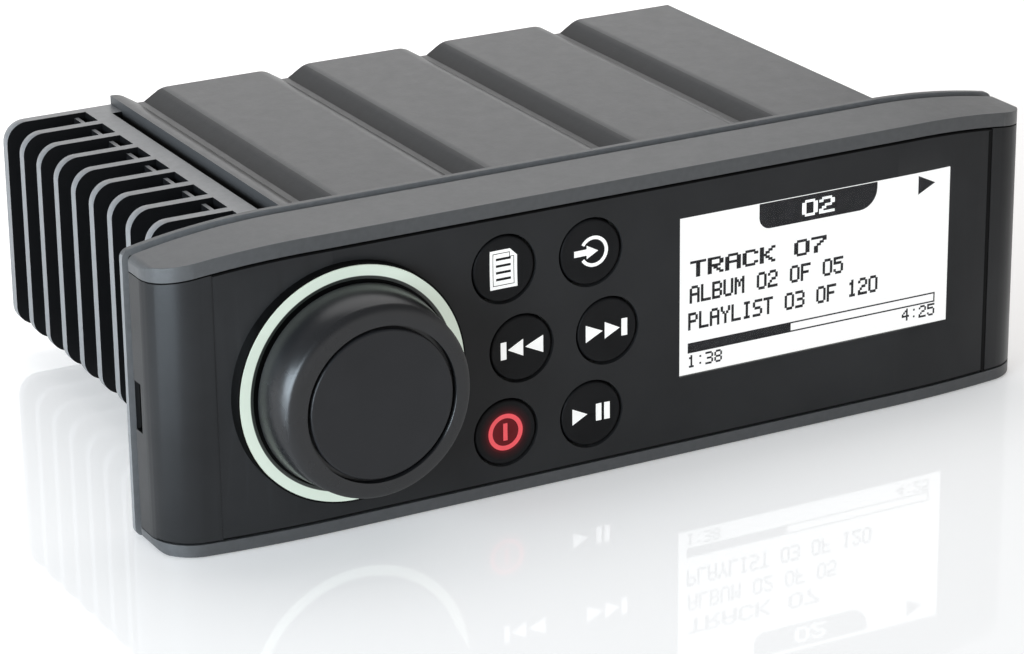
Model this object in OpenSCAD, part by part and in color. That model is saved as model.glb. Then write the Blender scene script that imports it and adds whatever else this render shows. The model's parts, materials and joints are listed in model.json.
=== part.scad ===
// Marine stereo: a face with a knob, six keys and a display on a ribbed, finned chassis.
// Frame: +X to the right, +Y to the rear, +Z up. The origin is the centre of the four
// mounting holes on the back face of the flange.

/* [Face] */
// Width of the face
face_w = 191.8; // [184:0.2:204]
// Height of the face
face_h = 59; // [59:0.5:63]
// Depth of the bezel from its flat front to its back edge
bezel_d = 15; // [14:0.5:18]
// Length of each falling end of the top edge
arch_in = 29.8; // [24:0.2:38]
// Radius of the falling ends of the top edge
arch_r = 150; // [130:5:200]
// Length of each curved end of the front
front_in = 33.9; // [31:0.1:40]
// Radius of the gentle curve at each end of the front
bulge_r = 200; // [180:5:260]
// Radius where the front turns into the end
end_r = 8.8; // [7:0.1:10]
// Corner radius of the face seen from the front
corner_r = 1.5; // [1.4:0.1:4]
// Height of the grey band above the fascia
top_band = 2.8; // [2.4:0.1:3.2]
// Height of the grey band below the fascia
bottom_band = 2.4; // [2:0.1:3]
// Thickness of the fascia
fascia_t = 3; // [2.8:0.1:3.4]
// Open seam between fascia, covers and bands
seam_gap = 0.2; // [0.1:0.05:0.4]

/* [Screw covers] */
// Width of a screw cover from its seam to the end of the face
screw_cover_w = 10.5; // [10.3:0.1:11.5]
// Wall of a screw cover
end_cover_t = 2.4; // [2:0.1:2.8]
// Height of the pry notch
notch_h = 9.7; // [6:0.1:14]
// Depth of the pry notch
notch_d = 3; // [2:0.1:4]
// Height of the middle of the pry notch
notch_z = -2.3; // [-6:0.1:6]
// Radius of the push pegs that hold a screw cover
peg_r = 1.5; // [1:0.1:2]
// Length of a push peg behind the cover wall
peg_l = 4; // [3:0.5:6]
// Distance between the two pegs of a cover
peg_dz = 10; // [8:0.5:12]

/* [Flange and seal] */
// Thickness of the mounting flange
flange_t = 1.2; // [1:0.1:2]
// How far the flange stands out past the bezel
flange_rim = 0.3; // [0:0.1:1]
// Thickness of the seal between bezel and flange
seal_t = 2.2; // [1.6:0.1:2.6]
// Thickness of the seal between flange and panel
panel_seal_t = 2; // [1:0.1:3]
// How far both seals lie inside the outline
seal_inset = 1; // [0.6:0.1:1.2]
// Distance of the mounting holes from the ends of the face
screw_in = 7; // [6.8:0.1:7.2]
// Distance between the mounting holes up the face
screw_dz = 38; // [36:0.5:40]
// Radius of the mounting holes
screw_r = 1.9; // [1.6:0.1:2.1]
// Radius of the wells for the mounting screw heads
screw_well_r = 3.3; // [2.8:0.1:3.4]

/* [Knob] */
// Distance of the knob's axis from the left end of the face
knob_in = 36.5; // [36:0.1:38]
// Place of the knob up the face
knob_z = 0.2; // [-1:0.1:1]
// Radius of the knob at its base
knob_r = 19.9; // [18:0.1:20.5]
// Radius of the knob where its front edge begins to round
knob_front_r = 18.8; // [17.6:0.1:19.6]
// Radius of the rounded front edge
knob_edge_r = 2.4; // [1:0.1:3]
// Height of the knob front above the fascia
knob_h = 14; // [13:0.2:17]
// Wall of the knob
knob_wall = 2.2; // [1.8:0.1:2.6]
// Radius of the cap in the front of the knob
cap_r = 14.5; // [12:0.1:15]
// Width of the groove round the cap
cap_gap = 0.7; // [0.4:0.05:1]
// Thickness of the cap
cap_t = 1.6; // [1.2:0.1:2]
// Height of the raised dish that carries the light ring
dish_h = 2; // [1.8:0.1:2.6]
// Rim of the dish outside the light ring
dish_rim = 0.4; // [0.3:0.1:1]
// Gap between the knob and the light ring
ring_gap = 0.5; // [0.4:0.1:1]
// Width of the light ring
ring_w = 2.6; // [2:0.1:3]
// Thickness of the light ring
ring_t = 2; // [1.4:0.1:2.4]
// How far the light ring stands proud of its dish
ring_proud = 0.15; // [0:0.05:0.4]
// Radius of the four light pipes behind the ring
pipe_r = 0.9; // [0.6:0.1:0.9]
// Travel of the knob when it is pushed
push_travel = 0.6; // [0.4:0.1:0.8]

/* [Encoder] */
// Radius of the encoder shaft
shaft_r = 3; // [2.8:0.1:3.2]
// Radius of the encoder bush
bush_r = 4.5; // [4.2:0.1:5]
// Width of the square encoder body
encoder_w = 13; // [12:0.5:14]
// Thickness of the bush nut
nut_t = 1.6; // [1.4:0.1:2]
// Distance across the flats of the bush nut
nut_af = 12; // [11:0.5:13]

/* [Keys] */
// Distance of the first key in the outer rows from the knob's axis
key_in = 32.8; // [32:0.1:34]
// Shift of the middle row to the right
key_shift = 3.6; // [2:0.1:5]
// Place up the face of the middle row
key_z = -0.4; // [-1:0.1:1]
// Distance between keys across
key_dx = 18.7; // [17:0.1:20]
// Distance between rows
key_dz = 16.5; // [16.4:0.1:17]
// Radius of a key
key_r = 6.5; // [5.6:0.1:6.6]
// Gap round a key
key_gap = 0.45; // [0.3:0.05:0.6]
// How far a key lies below the fascia
key_sink = 0.1; // [0:0.05:0.6]
// Depth of the dish in the front of a key
key_dish = 0.2; // [0.1:0.05:0.4]
// Travel of a key
key_travel = 0.8; // [0.5:0.1:1]

/* [Display] */
// Distance of the display from the keys on its left
lcd_gap = 9.6; // [9:0.1:12]
// Distance of the display from the seam on its right
lcd_in = 10.6; // [10.6:0.1:14]
// Height of the face above and below the display, taken together
lcd_rim = 26.4; // [25.6:0.2:30]
// Place of the middle of the display up the face
lcd_z = 3; // [1:0.1:3.4]
// Thickness of the display lens
lens_t = 0.8; // [0.6:0.1:1]
// How far the lens lies below the flat front
lens_sink = 0.35; // [0.3:0.05:0.5]
// Border of the display panel behind the fascia
lcd_border = 1; // [0.8:0.1:1.2]

/* [Front board] */
// Distance from the flat front to the front board
board_depth = 9.4; // [9.2:0.1:10.4]
// Thickness of the boards
board_t = 1.6; // [1.2:0.1:2]
// Thickness of the solid ends beside the room for the front board
end_block_w = 18.8; // [18:0.1:19]
// Margin of the front board in its room
board_margin = 1.4; // [1:0.1:2]
// Radius of the posts that carry the front board
post_r = 2.2; // [2:0.1:2.4]
// Width and depth of a key switch
switch_w = 6; // [5:0.5:7]

/* [Chassis] */
// Distance of the right side of the chassis from the right end of the face
body_in = 15; // [13:0.5:17]
// Distance of the ridge beside the heat sink from the left end of the face
ridge_in = 42.8; // [41:0.2:44]
// Length of the chassis behind the flange
body_l = 101.9; // [96:0.1:112]
// Height of the cover top above the middle of the face
cover_z = 22.6; // [21:0.1:24]
// Height of the chassis floor below the middle of the face
floor_z = 23.9; // [23:0.1:25]
// Wall of the sheet metal tub and rear panel
tub_t = 1.5; // [1.2:0.1:2]
// Wall of the ribbed cover
cover_t = 2; // [1.6:0.1:2.4]
// Width of the grooves between raised panels
groove_w = 9.6; // [8.5:0.1:11]
// Depth of the grooves between raised panels
groove_d = 2.5; // [2:0.1:3]
// How far the rim of the cover stands below the groove floors
rim_drop = 0.6; // [0.3:0.1:1.5]
// Width of a groove floor
groove_floor = 1.5; // [1:0.1:2.5]
// Rounding of the edges of the raised panels
panel_r = 5; // [3:0.5:7]
// Width of the narrow ridge beside the heat sink
ridge_w = 2; // [1.8:0.1:2.6]
// Distance of the window in the chassis front from the ridge
window_left = 28.4; // [24:0.2:34]
// Distance of the window in the chassis front from the right side
window_right = 9.6; // [8:0.2:16]
// Height of the window in the chassis front
window_h = 22; // [16:1:24]

/* [Heat sink] */
// Distance between fins
fin_pitch = 9.2; // [6:0.1:12]
// Least distance of the first fin behind the flange
fin_front = 7; // [5:0.5:14]
// Thickness of a fin
fin_t = 2.3; // [1.8:0.1:2.8]
// Reach of the fins from the base wall
fin_reach = 17.6; // [12:0.1:19]
// Corner radius of the fins
fin_r = 4.5; // [3:0.1:6]
// Height of the fin tops above the middle of the face
fin_z = 20.7; // [20:0.1:21.6]
// Thickness of the base wall
base_t = 4.5; // [4:0.1:6]
// Width of the channel between base wall and inner wall
channel_w = 2.2; // [1.6:0.1:3]
// Height of the channel floor
channel_z = 6; // [0:0.5:10]
// Length of the closed stretch in front of the channel
channel_front = 17; // [10:0.5:24]
// Length of the closed stretch behind the channel
channel_rear = 6; // [3:0.5:10]
// Thickness of the low web between two fins
web_t = 0.9; // [0.6:0.1:1.2]
// Drop of the web below the fin tops
web_drop = 1; // [0.5:0.1:2]
// Gap behind the web
web_gap = 1.6; // [1:0.1:2.4]

/* [Main board] */
// Height of the main board above the chassis floor
main_board_rise = 8; // [6:0.5:10]
// Radius of the posts that carry the main board
main_post_r = 3; // [2.6:0.1:3.5]
// Radius of the large capacitors
cap_can_r = 7; // [6:0.5:8]
// Height of the large capacitors
cap_can_h = 22; // [16:1:24]

/* [Sockets] */
// Width of the harness socket
harness_w = 38; // [34:0.5:42]
// Height of the harness socket
harness_h = 17; // [15:0.5:19]
// Wall of the harness socket
harness_wall = 2; // [1.6:0.1:2.4]
// How far the harness socket stands out of the rear panel
harness_l = 11; // [9:0.5:14]
// Radius of the network socket collar
network_r = 6; // [5.5:0.1:6.5]
// Length of the network socket collar
network_l = 9; // [8:0.5:12]
// Radius of the aerial socket bore
aerial_r = 4.8; // [4.6:0.1:5]
// Depth of the aerial socket bore
aerial_l = 11; // [9:0.5:13]

/* [Fits] */
// Gap between pieces that move past each other
move_gap = 0.3; // [0.25:0.05:0.4]
// Radial clearance of the encoder shaft in its bush
run_gap = 0.05; // [0.03:0.01:0.08]
// Gap between pieces that are set into each other
seat_gap = 0.1; // [0.05:0.05:0.2]

/* [Hidden] */
$fn = 96;
// Overshoot of a cut past the face it opens
cut = 1;
// Oversize that keeps two outlines from sharing a face
skim = 0.02;
// Overlap that joins two shapes of one piece
fuse = 1;
// Flats that make up each falling end of the top edge, each corner of the face and each groove shoulder
arch_steps = 14;
corner_steps = 6;
shoulder_steps = 8;
groove_count = 4;

// Depths along Y
seal_y = -flange_t - seal_t;
front_y = seal_y - bezel_d;
board_y = front_y + board_depth;
board_back_y = board_y + board_t;
rear_y = body_l - tub_t;

// Heights along Z
rim_z = cover_z - groove_d - cover_t - rim_drop;
tub_floor_z = -floor_z + tub_t;
main_board_z = tub_floor_z + main_board_rise;
main_top_z = main_board_z + board_t;

// Places across X, from the two ends of the face
arch_flat = face_w / 2 - arch_in;
front_flat = face_w / 2 - front_in;
left_seam_x = -face_w / 2 + screw_cover_w;
right_seam_x = face_w / 2 - screw_cover_w;
screw_dx = face_w - 2 * screw_in;
cavity_w = face_w - 2 * end_block_w;
knob_x = -face_w / 2 + knob_in;
key_x = knob_x + key_in;
lcd_left_x = key_x + key_shift + key_dx + key_r + lcd_gap;
lcd_right_x = right_seam_x - lcd_in;
lcd_w = lcd_right_x - lcd_left_x;
lcd_h = face_h - lcd_rim;
lcd_x = (lcd_left_x + lcd_right_x) / 2;
body_right = face_w / 2 - body_in;
ridge_right_x = -face_w / 2 + ridge_in;
panel_pitch = (body_right - ridge_right_x) / groove_count;
groove_run = (groove_w - groove_floor) / 2;
window_left_x = ridge_right_x + window_left;
window_w = body_right - window_right - window_left_x;
window_x = window_left_x + window_w / 2;
ridge_x = ridge_right_x - ridge_w;
base_right_x = ridge_x - channel_w;
base_x = base_right_x - base_t;
fin_x = base_x - fin_reach;
fin_count = 1 + floor((body_l - fin_front - fin_t) / fin_pitch);
web_x = base_x - web_gap - web_t;

// Small screws: shank, head, and the cross in the head
small_screw_r = 1.2;
small_head_r = 2.2;
small_head_t = 1.4;
small_head_edge = 0.4;
cross_l = 2.4;
cross_w = 0.5;
cross_d = 0.6;
// How far a small screw goes into the piece that holds it, and the room past its tip
screw_bite = 4;
screw_room = 1;

// Mounting holes, pegs and the countersunk screws between flange and bezel
mount_at = [for (sx = [-1, 1], sz = [-1, 1]) [sx * screw_dx / 2, sz * screw_dz / 2]];
peg_x = screw_dx / 2;
peg_at = [for (sx = [-1, 1], sz = [-1, 1]) [sx * peg_x, sz * peg_dz / 2]];
face_screw_r = 1.25;
face_screw_head_r = 2.6;
face_screw_l = 7;
face_screw_in = 5;
face_screw_at = [for (sx = [-1, 1], sz = [-1, 1]) [sx * (cavity_w / 2 + face_screw_in), sz * peg_dz]];
sink_t = 0.7 * flange_t;
// Room between the panel seal and what passes through it
seal_room = 0.8;

// Knob, ring and encoder, measured ahead of the fascia front
bush_proud = 0.4;
hub_wall = 2;
shaft_seat = 0.6;
ring_in_r = knob_r + ring_gap;
ring_out_r = ring_in_r + ring_w;
ring_mid_r = (ring_in_r + ring_out_r) / 2;
dish_r = ring_out_r + dish_rim;
knob_base_h = dish_h + ring_proud + push_travel + move_gap;
nut_h = dish_h + nut_t;
bush_h = nut_h + bush_proud;
hub_h = bush_h + push_travel + move_gap;
hub_r = shaft_r + hub_wall;
knob_roof_h = knob_h - cap_t - knob_wall;
shaft_h = knob_roof_h + shaft_seat;
pipe_turn = 62;
pipe_at = [for (sx = [-1, 1], sz = [-1, 1]) ring_mid_r * [sx * cos(pipe_turn), sz * sin(pipe_turn)]];
lamp_h = 1;
lamp_w = 2.8;

// Inside of the encoder, measured behind the fascia front
encoder_wall = 1;
encoder_side = 1.6;
encoder_h = -fascia_t - 2 * move_gap;
encoder_t = board_depth + encoder_h;
drum_t = 1;
plunger_t = 1;
drum_r = encoder_w / 2 - encoder_side;
drum_d = -encoder_h + encoder_wall + move_gap;
plunger_d = drum_d + drum_t + run_gap;

// Keys: names follow the six modules further down
key_at = [
    for (row = [1, 0, -1], col = [0, 1])
        [key_x + col * key_dx + (row == 0 ? key_shift : 0), key_z + row * key_dz]
];
key_flange_r = key_r + 1.2;
key_flange_t = 1;
switch_nub_h = 0.6;
switch_nub_r = 1.75;
key_stop_y = front_y + fascia_t + move_gap;
switch_top_y = key_stop_y + key_flange_t + key_travel + move_gap;

// Display
panel_w_lcd = lcd_w + 2 * lcd_border;
panel_h_lcd = lcd_h + 2 * lcd_border;
lcd_y = front_y + lens_sink + lens_t;

// Front board
fboard_w = cavity_w - 2 * board_margin;
fboard_h = face_h - top_band - bottom_band - 2 * board_margin;
fboard_z = (bottom_band - top_band) / 2 - 0.3;
post_x = fboard_w / 2 - post_r;
post_at = [
    for (sz = [-1, 1])
        for (x = [knob_x, lcd_x - panel_w_lcd / 2 - 2 * post_r, post_x])
            [x, fboard_z + sz * (fboard_h / 2 - post_r)]
];

// Screws through the flange into the chassis front, above and below the window
frame_screw_in = 8;
frame_screw_z = window_h / 2 + small_head_r + 2;
frame_screw_at = [
    for (x = [ridge_right_x + frame_screw_in, body_right - frame_screw_in], sz = [-1, 1])
        [x, sz * frame_screw_z]
];

// Tabs of the cover behind the right wall of the tub, and their screws
tab_w = 9;
tab_t = 3.2;
tab_drop = 8;
tab_in = 20;
tab_y = [tab_in, body_l / 2, body_l - tab_in];
tab_x = body_right - tub_t - seat_gap;
tab_screw_z = rim_z - tab_drop / 2;

// Screws of the rear panel and the lugs that hold them
lug_w = 7;
lug_l = 6;
lug_in = 5;
lug_z = [-floor_z + lug_in, rim_z - lug_in];
lug_x = [ridge_right_x + lug_in, body_right - lug_in];
rear_screw_at = [for (x = lug_x, z = lug_z) [x, z]];

// Folded edge of the tub against the heat sink, and its screws along Y
fold_h = 7;
fold_screw_z = -floor_z + fold_h / 2 + tub_t / 2;
fold_screw_y = tab_y;

// Main board and its posts
mboard_left_in = 6;
mboard_edge_in = 3;
mboard_y0 = 8;
mboard_x0 = ridge_right_x + mboard_left_in;
mboard_x1 = body_right - tub_t - mboard_edge_in;
mboard_y1 = rear_y - mboard_edge_in;
mpost_in = main_post_r + 1;
mpost_x = [mboard_x0 + mpost_in, mboard_x1 - mpost_in];
mpost_y = [mboard_y0 + mpost_in, mboard_y1 - mpost_in];
mpost_at = [for (x = mpost_x, y = mpost_y) [x, y]];

// Stiffening ribs on the floor of the tub
rib_count = 3;
rib_w = 6;
rib_h = 1.2;
rib_end = 12;

// Flat power package against the heat sink, its leads and its clamp
chip_l = 28;
chip_h = 16;
chip_t = 4.4;
chip_y = 36;
chip_rise = 5;
chip_z = main_top_z + chip_rise;
lead_count = 9;
lead_pitch = 2.8;
lead_w = 0.9;
lead_rise = 1;
clamp_t = 1.5;
clamp_h = 7;
clamp_end = 10;
clamp_foot = 8;
clamp_screw_in = 4;
clamp_screw_z = chip_z + chip_h / 2;
clamp_screw_y = [chip_y - clamp_end + clamp_screw_in, chip_y + chip_l + clamp_end - clamp_screw_in];

// Places of the other pieces on the main board, from the aerial socket at its right
aerial_side = 22;
aerial_x = body_right - aerial_side;
cap_side = 52;
choke_side = 70;
cap_count = 3;
cap_at = [aerial_x - cap_side, 76];
cap_space = 2;
cap_edge = 0.8;
choke_at = [aerial_x - choke_side, 74];
choke_w = 15;
choke_h = 8;
choke_r = 9.3;
tuner_w = 22;
tuner_l = 28;
tuner_h = 8;
radio_side = 16.4;
radio_at = [window_x - radio_side, -2];
radio_w = 18;
radio_h = 12;
radio_t = 2.4;
ribbon_w = 24;
ribbon_t = 0.5;
ribbon_side = 15.6;
ribbon_x = window_left_x + ribbon_side;
ribbon_z = -6;
ribbon_end = 6;

// Rear sockets on the panel
harness_side = 34;
harness_at = [ridge_right_x + harness_side, -6];
harness_lip = 2;
latch_w = 8;
latch_d = 4;
blade_columns = 8;
blade_pitch = 3.6;
blade_row = 3;
blade_w = 0.8;
blade_h = 1.6;
blade_l = 4;
network_at = [(harness_at.x + harness_w / 2 + aerial_x) / 2, -4];
network_lip = 2.5;
network_flange_r = network_r + network_lip;
network_flange_t = 2.5;
network_shank_r = network_r - 1;
network_shank_l = 5;
network_nut_af = 15;
network_nut_t = 3;
network_rim = 1.2;
contact_count = 5;
contact_r = 0.6;
contact_ring_r = 3;
contact_d = 4;
aerial_at = [aerial_x, -3];
aerial_wall = 1.4;
aerial_out = 5;
aerial_in = 8;
aerial_lip = 2;

// Shared shapes

// Extrudes an outline drawn in X and Z from y0 to the rear
module slab(y0, d) {
    translate([0, y0 + d, 0]) rotate([90, 0, 0]) linear_extrude(d) children();
}

// Round bar along Y, from y0 to the rear
module rod(r, y0, d) {
    translate([0, y0, 0]) rotate([-90, 0, 0]) cylinder(r = r, h = d);
}

// Tapered bar along Y
module cone(r1, r2, y0, d) {
    translate([0, y0, 0]) rotate([-90, 0, 0]) cylinder(r1 = r1, r2 = r2, h = d);
}

// Turned shape on a Y axis: X of the profile is the radius, Y is the distance to the front
module turned() {
    rotate([90, 0, 0]) rotate_extrude() children();
}

// Puts copies at places given in X and Z
module at_places(places) {
    for (p = places) translate([p.x, 0, p.y]) children();
}

// Places a shape on the knob axis, with y = 0 on the flat front
module at_knob() {
    translate([knob_x, front_y, knob_z]) children();
}

// Middle of the small arc that joins a large arc, which starts at flat_x, to a straight end
function end_centre(half, flat_x, big_r, small_r) =
    [half - small_r, big_r - sqrt(pow(big_r - small_r, 2) - pow(half - small_r - flat_x, 2))];

// Half outline of the bezel seen from above: flat, then a gentle arc, then a tight one
module plan_half(inset) {
    depth = bezel_d + cut + inset;
    big = [front_flat, bulge_r];
    small = end_centre(face_w / 2, front_flat, bulge_r, end_r);
    out = (small - big) / norm(small - big);
    far = 3 * end_r;
    difference() {
        intersection() {
            translate([0, inset]) square([face_w / 2 - inset, depth - inset]);
            union() {
                translate([0, inset]) square([front_flat, depth - inset]);
                translate(big) circle(bulge_r - inset, $fn = 360);
            }
        }
        difference() {
            polygon([small, small + far * out, small + far * (out + [1, 0]), small + [far, 0]]);
            translate(small) circle(end_r - inset);
        }
    }
}

// Outline of the bezel seen from above, drawn past its back edge
module plan(inset) {
    for (side = [0, 1]) translate([0, front_y]) mirror([side, 0]) plan_half(inset);
}

module plan_prism(inset) {
    translate([0, 0, -face_h]) linear_extrude(2 * face_h) plan(inset);
}

// Points along an arc, from one angle to the other
function arc(centre, r, from, to, steps) =
    [for (i = [0:steps]) let (a = from + (to - from) * i / steps) centre + r * [cos(a), sin(a)]];

// A right half of points, closed by its mirror image
function both_sides(half) =
    concat(half, [for (i = [len(half) - 1:-1:0]) [-half[i].x, half[i].y]]);

// Outline of the face seen from the front: falling top ends and round corners
module face_outline(inset) {
    small = end_centre(face_w / 2, arch_flat, arch_r, corner_r);
    top_end = [small.x, face_h / 2 - small.y];
    turn = atan2(arch_r - small.y, small.x - arch_flat);
    bottom_end = [face_w / 2 - corner_r, -face_h / 2 + corner_r];
    r = corner_r - inset;
    polygon(both_sides(concat(
        arc([arch_flat, face_h / 2 - arch_r], arch_r - inset, 90, turn, arch_steps),
        arc(top_end, r, turn, 0, corner_steps),
        arc(bottom_end, r, 0, -90, corner_steps)
    )));
}

// Field between the top and bottom bands, drawn past the ends of the face
module between_bands(gap) {
    past = 10;
    turn = acos((face_w / 2 + past - arch_flat) / arch_r);
    polygon(both_sides(concat(
        arc([arch_flat, face_h / 2 - arch_r - top_band - gap], arch_r, 90, turn, arch_steps),
        [[face_w / 2 + past, -face_h / 2 + bottom_band + gap]]
    )));
}

// Curved sheet that follows the front and the ends of the bezel
module skin(t) {
    difference() {
        plan_prism(0);
        plan_prism(t);
    }
}

// Solid ends behind the screw covers, left and right of the room for the front board
module end_blocks() {
    difference() {
        plan_prism(fascia_t + seat_gap);
        translate([-cavity_w / 2, front_y, -2 * face_h]) cube([cavity_w, 2 * bezel_d, 4 * face_h]);
    }
}

// Window shared by seal, flange and chassis front
module front_window() {
    translate([window_x, 0]) square([window_w, window_h], center = true);
}

// Pan head screw along +Y: the head's back lies at y = 0 and its shank goes to the rear
module pan_screw(shank_l) {
    difference() {
        turned() round_disc(small_head_r, 0, small_head_t, small_head_edge);
        translate([0, -small_head_t, 0]) cross();
    }
    rod(small_screw_r, 0, shank_l);
}

// Cross recess, cut into a screw head whose front lies at y = 0
module cross() {
    cube([cross_l, 2 * cross_d, cross_w], center = true);
    cube([cross_w, 2 * cross_d, cross_l], center = true);
}

// Half section of a disc between two heights, with a rounded front edge
module round_disc(r, h0, h1, edge) {
    square_from(r, h0, h1 - edge);
    square_from(r - edge, h0, h1);
    translate([r - edge, h1 - edge]) circle(edge, $fn = 32);
}

// Upright rectangle from the axis to radius r, between two heights
module square_from(r, h0, h1) {
    translate([0, h0]) square([r, h1 - h0]);
}

// Round bar along X, from x0 to the left
module cross_rod(r, x0, d) {
    translate([x0, 0, 0]) rotate([0, -90, 0]) cylinder(r = r, h = d);
}

// Face pieces

// Grey frame: top and bottom bands, and an end block behind each screw cover
module bezel() {
    color("#747474")
    difference() {
        intersection() {
            slab(front_y - cut, bezel_d + cut) face_outline(-skim);
            plan_prism(0);
        }
        difference() {
            slab(front_y - 2 * cut, bezel_d + 4 * cut) between_bands(0);
            end_blocks();
        }
        at_places(mount_at) {
            rod(screw_r, front_y - cut, bezel_d + 2 * cut);
            rod(screw_well_r, front_y - cut, bezel_d / 2 + cut);
        }
        at_places(peg_at) rod(peg_r + move_gap, front_y - cut, peg_d() + move_gap + cut);
        at_places(face_screw_at)
            rod(face_screw_r + run_gap, seal_y - face_screw_l - screw_room, face_screw_l + screw_room + cut);
    }
}

// Dark plate with the key holes, the raised dish, the display window and the board posts
module fascia() {
    width = right_seam_x - left_seam_x - seam_gap;
    dish_root = fascia_t - fuse;
    color("#2f2f31")
    difference() {
        union() {
            intersection() {
                slab(front_y - cut, bezel_d)
                    intersection() {
                        between_bands(seam_gap);
                        translate([left_seam_x + seam_gap / 2, -face_h]) square([width, 2 * face_h]);
                    }
                skin(fascia_t);
            }
            at_knob() rod(dish_r, -dish_h, dish_h + dish_root);
            at_places(post_at) rod(post_r, front_y + dish_root, board_depth - dish_root);
        }
        at_places(key_at) rod(key_r + key_gap, front_y - cut, fascia_t + 2 * cut);
        at_knob() {
            rod(bush_r + seat_gap, -dish_h - cut, dish_h + fascia_t + 2 * cut);
            difference() {
                rod(ring_out_r + seat_gap, -dish_h - cut, ring_t - ring_proud + seat_gap + cut);
                rod(ring_in_r - seat_gap, -dish_h - 2 * cut, ring_t + 3 * cut);
            }
            at_places(pipe_at) rod(pipe_r + seat_gap, -dish_h - cut, dish_h + fascia_t + 2 * cut);
        }
        translate([lcd_x, 0, lcd_z]) {
            slab(front_y - cut, fascia_t + 2 * cut) square([lcd_w, lcd_h], center = true);
            slab(lcd_y, fascia_t)
                square([panel_w_lcd + 2 * seat_gap, panel_h_lcd + 2 * seat_gap], center = true);
        }
        at_places(post_at)
            rod(small_screw_r + run_gap, board_y - screw_bite - screw_room, screw_bite + screw_room + cut);
    }
}

// End cap that hides two mounting screws; side is -1 on the left and 1 on the right
module screw_cover(side) {
    inner_x = side > 0 ? right_seam_x + seam_gap / 2 : -face_w;
    width = side > 0 ? face_w - inner_x : left_seam_x - seam_gap / 2 - inner_x;
    color("#303032")
    difference() {
        union() {
            intersection() {
                slab(front_y - cut, bezel_d + cut)
                    intersection() {
                        between_bands(seam_gap);
                        translate([inner_x, -face_h]) square([width, 2 * face_h]);
                    }
                skin(end_cover_t);
            }
            intersection() {
                at_places([for (p = peg_at) if (p.x * side > 0) p]) rod(peg_r, front_y, peg_d());
                plan_prism(end_cover_t / 2);
            }
        }
        translate([side * face_w / 2, seal_y, notch_z])
            cube([4 * end_cover_t, 2 * notch_d, notch_h], center = true);
    }
}

// Depth of the peg tips behind the flat front
function peg_d() = peg_l + end_cover_t + bulge_drop(peg_x);

// How far the gentle curve has fallen back at x
function bulge_drop(x) = bulge_r - sqrt(pow(bulge_r, 2) - pow(x - front_flat, 2));

module left_screw_cover() {
    screw_cover(-1);
}

module right_screw_cover() {
    screw_cover(1);
}

// Rubber seal between bezel and flange
module face_seal() {
    color("#161616")
    slab(seal_y, seal_t)
        difference() {
            face_outline(seal_inset);
            front_window();
            for (p = mount_at) translate(p) circle(screw_r);
            for (p = face_screw_at) translate(p) circle(face_screw_r + run_gap);
            for (p = frame_screw_at) translate(p) circle(small_head_r + seat_gap);
        }
}

// Plate that rests on the panel and carries the four mounting holes
module mounting_flange() {
    color("#a9a9a9")
    difference() {
        slab(-flange_t, flange_t)
            difference() {
                face_outline(-flange_rim);
                front_window();
                for (p = mount_at) translate(p) circle(screw_r);
                for (p = frame_screw_at) translate(p) circle(small_screw_r + run_gap);
                for (p = face_screw_at) translate(p) circle(face_screw_r + run_gap);
            }
        at_places(face_screw_at)
            cone(face_screw_r + run_gap, face_screw_head_r + run_gap, -sink_t, sink_t);
    }
}

// Foam ring on the back of the flange that rests on the panel, clear of all that passes through it
module panel_seal() {
    low = [fin_x - seal_room, -floor_z - seal_room];
    high = [body_right + seal_room, cover_z + seal_room];
    color("#1b1b1b")
    slab(0, panel_seal_t)
        difference() {
            face_outline(seal_inset);
            translate(low) square(high - low);
            for (p = mount_at) translate(p) circle(screw_r);
        }
}

// Countersunk screws that pull the bezel and seal onto the flange
module face_screws() {
    color("#c0c0c0")
    at_places(face_screw_at)
        difference() {
            union() {
                cone(face_screw_r, face_screw_head_r, -sink_t, sink_t);
                rod(face_screw_r, seal_y - face_screw_l, face_screw_l + seal_t + flange_t / 2);
            }
            cross();
        }
}

// Display

module lcd_lens() {
    color("#f4f8fb", 0.35)
    translate([lcd_x, 0, lcd_z])
        slab(front_y + lens_sink, lens_t)
            square([lcd_w - 2 * seat_gap, lcd_h - 2 * seat_gap], center = true);
}

module lcd_panel() {
    color("#fbfbfb")
    translate([lcd_x, 0, lcd_z])
        slab(lcd_y, front_y + fascia_t - lcd_y)
            square([panel_w_lcd, panel_h_lcd], center = true);
}

// White tray of light behind the panel, whose walls stand on the front board
module lcd_backlight() {
    depth = board_y - front_y - fascia_t;
    floor_t = 2;
    wall = 3;
    color("#ececec")
    translate([lcd_x, 0, lcd_z])
        difference() {
            slab(front_y + fascia_t, depth) square([panel_w_lcd, panel_h_lcd], center = true);
            slab(front_y + fascia_t + floor_t, depth)
                square([panel_w_lcd - 2 * wall, panel_h_lcd - 2 * wall], center = true);
        }
}

// Knob and light ring

// Translucent ring with four light pipes that reach the lamps
module light_ring() {
    color("#dff0df")
    at_knob() {
        difference() {
            rod(ring_out_r, -dish_h - ring_proud, ring_t);
            rod(ring_in_r, -dish_h - ring_proud - cut, ring_t + 2 * cut);
        }
        at_places(pipe_at) rod(pipe_r, -dish_h, dish_h + board_depth - lamp_h);
    }
}

// Lamps on the front board, one behind each light pipe
module ring_lamps() {
    color("#f6f3dc")
    at_knob()
        at_places(pipe_at)
            slab(board_depth - lamp_h, lamp_h) square([lamp_w, lamp_w], center = true);
}

// Outer profile of the knob, radius against height above the fascia
module knob_profile() {
    edge = [knob_front_r - knob_edge_r, knob_h - knob_edge_r];
    polygon([[0, knob_base_h], [knob_r, knob_base_h], [knob_front_r, edge.y], [0, edge.y]]);
    square_from(edge.x, edge.y, knob_h);
    translate(edge) circle(knob_edge_r);
}

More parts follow.
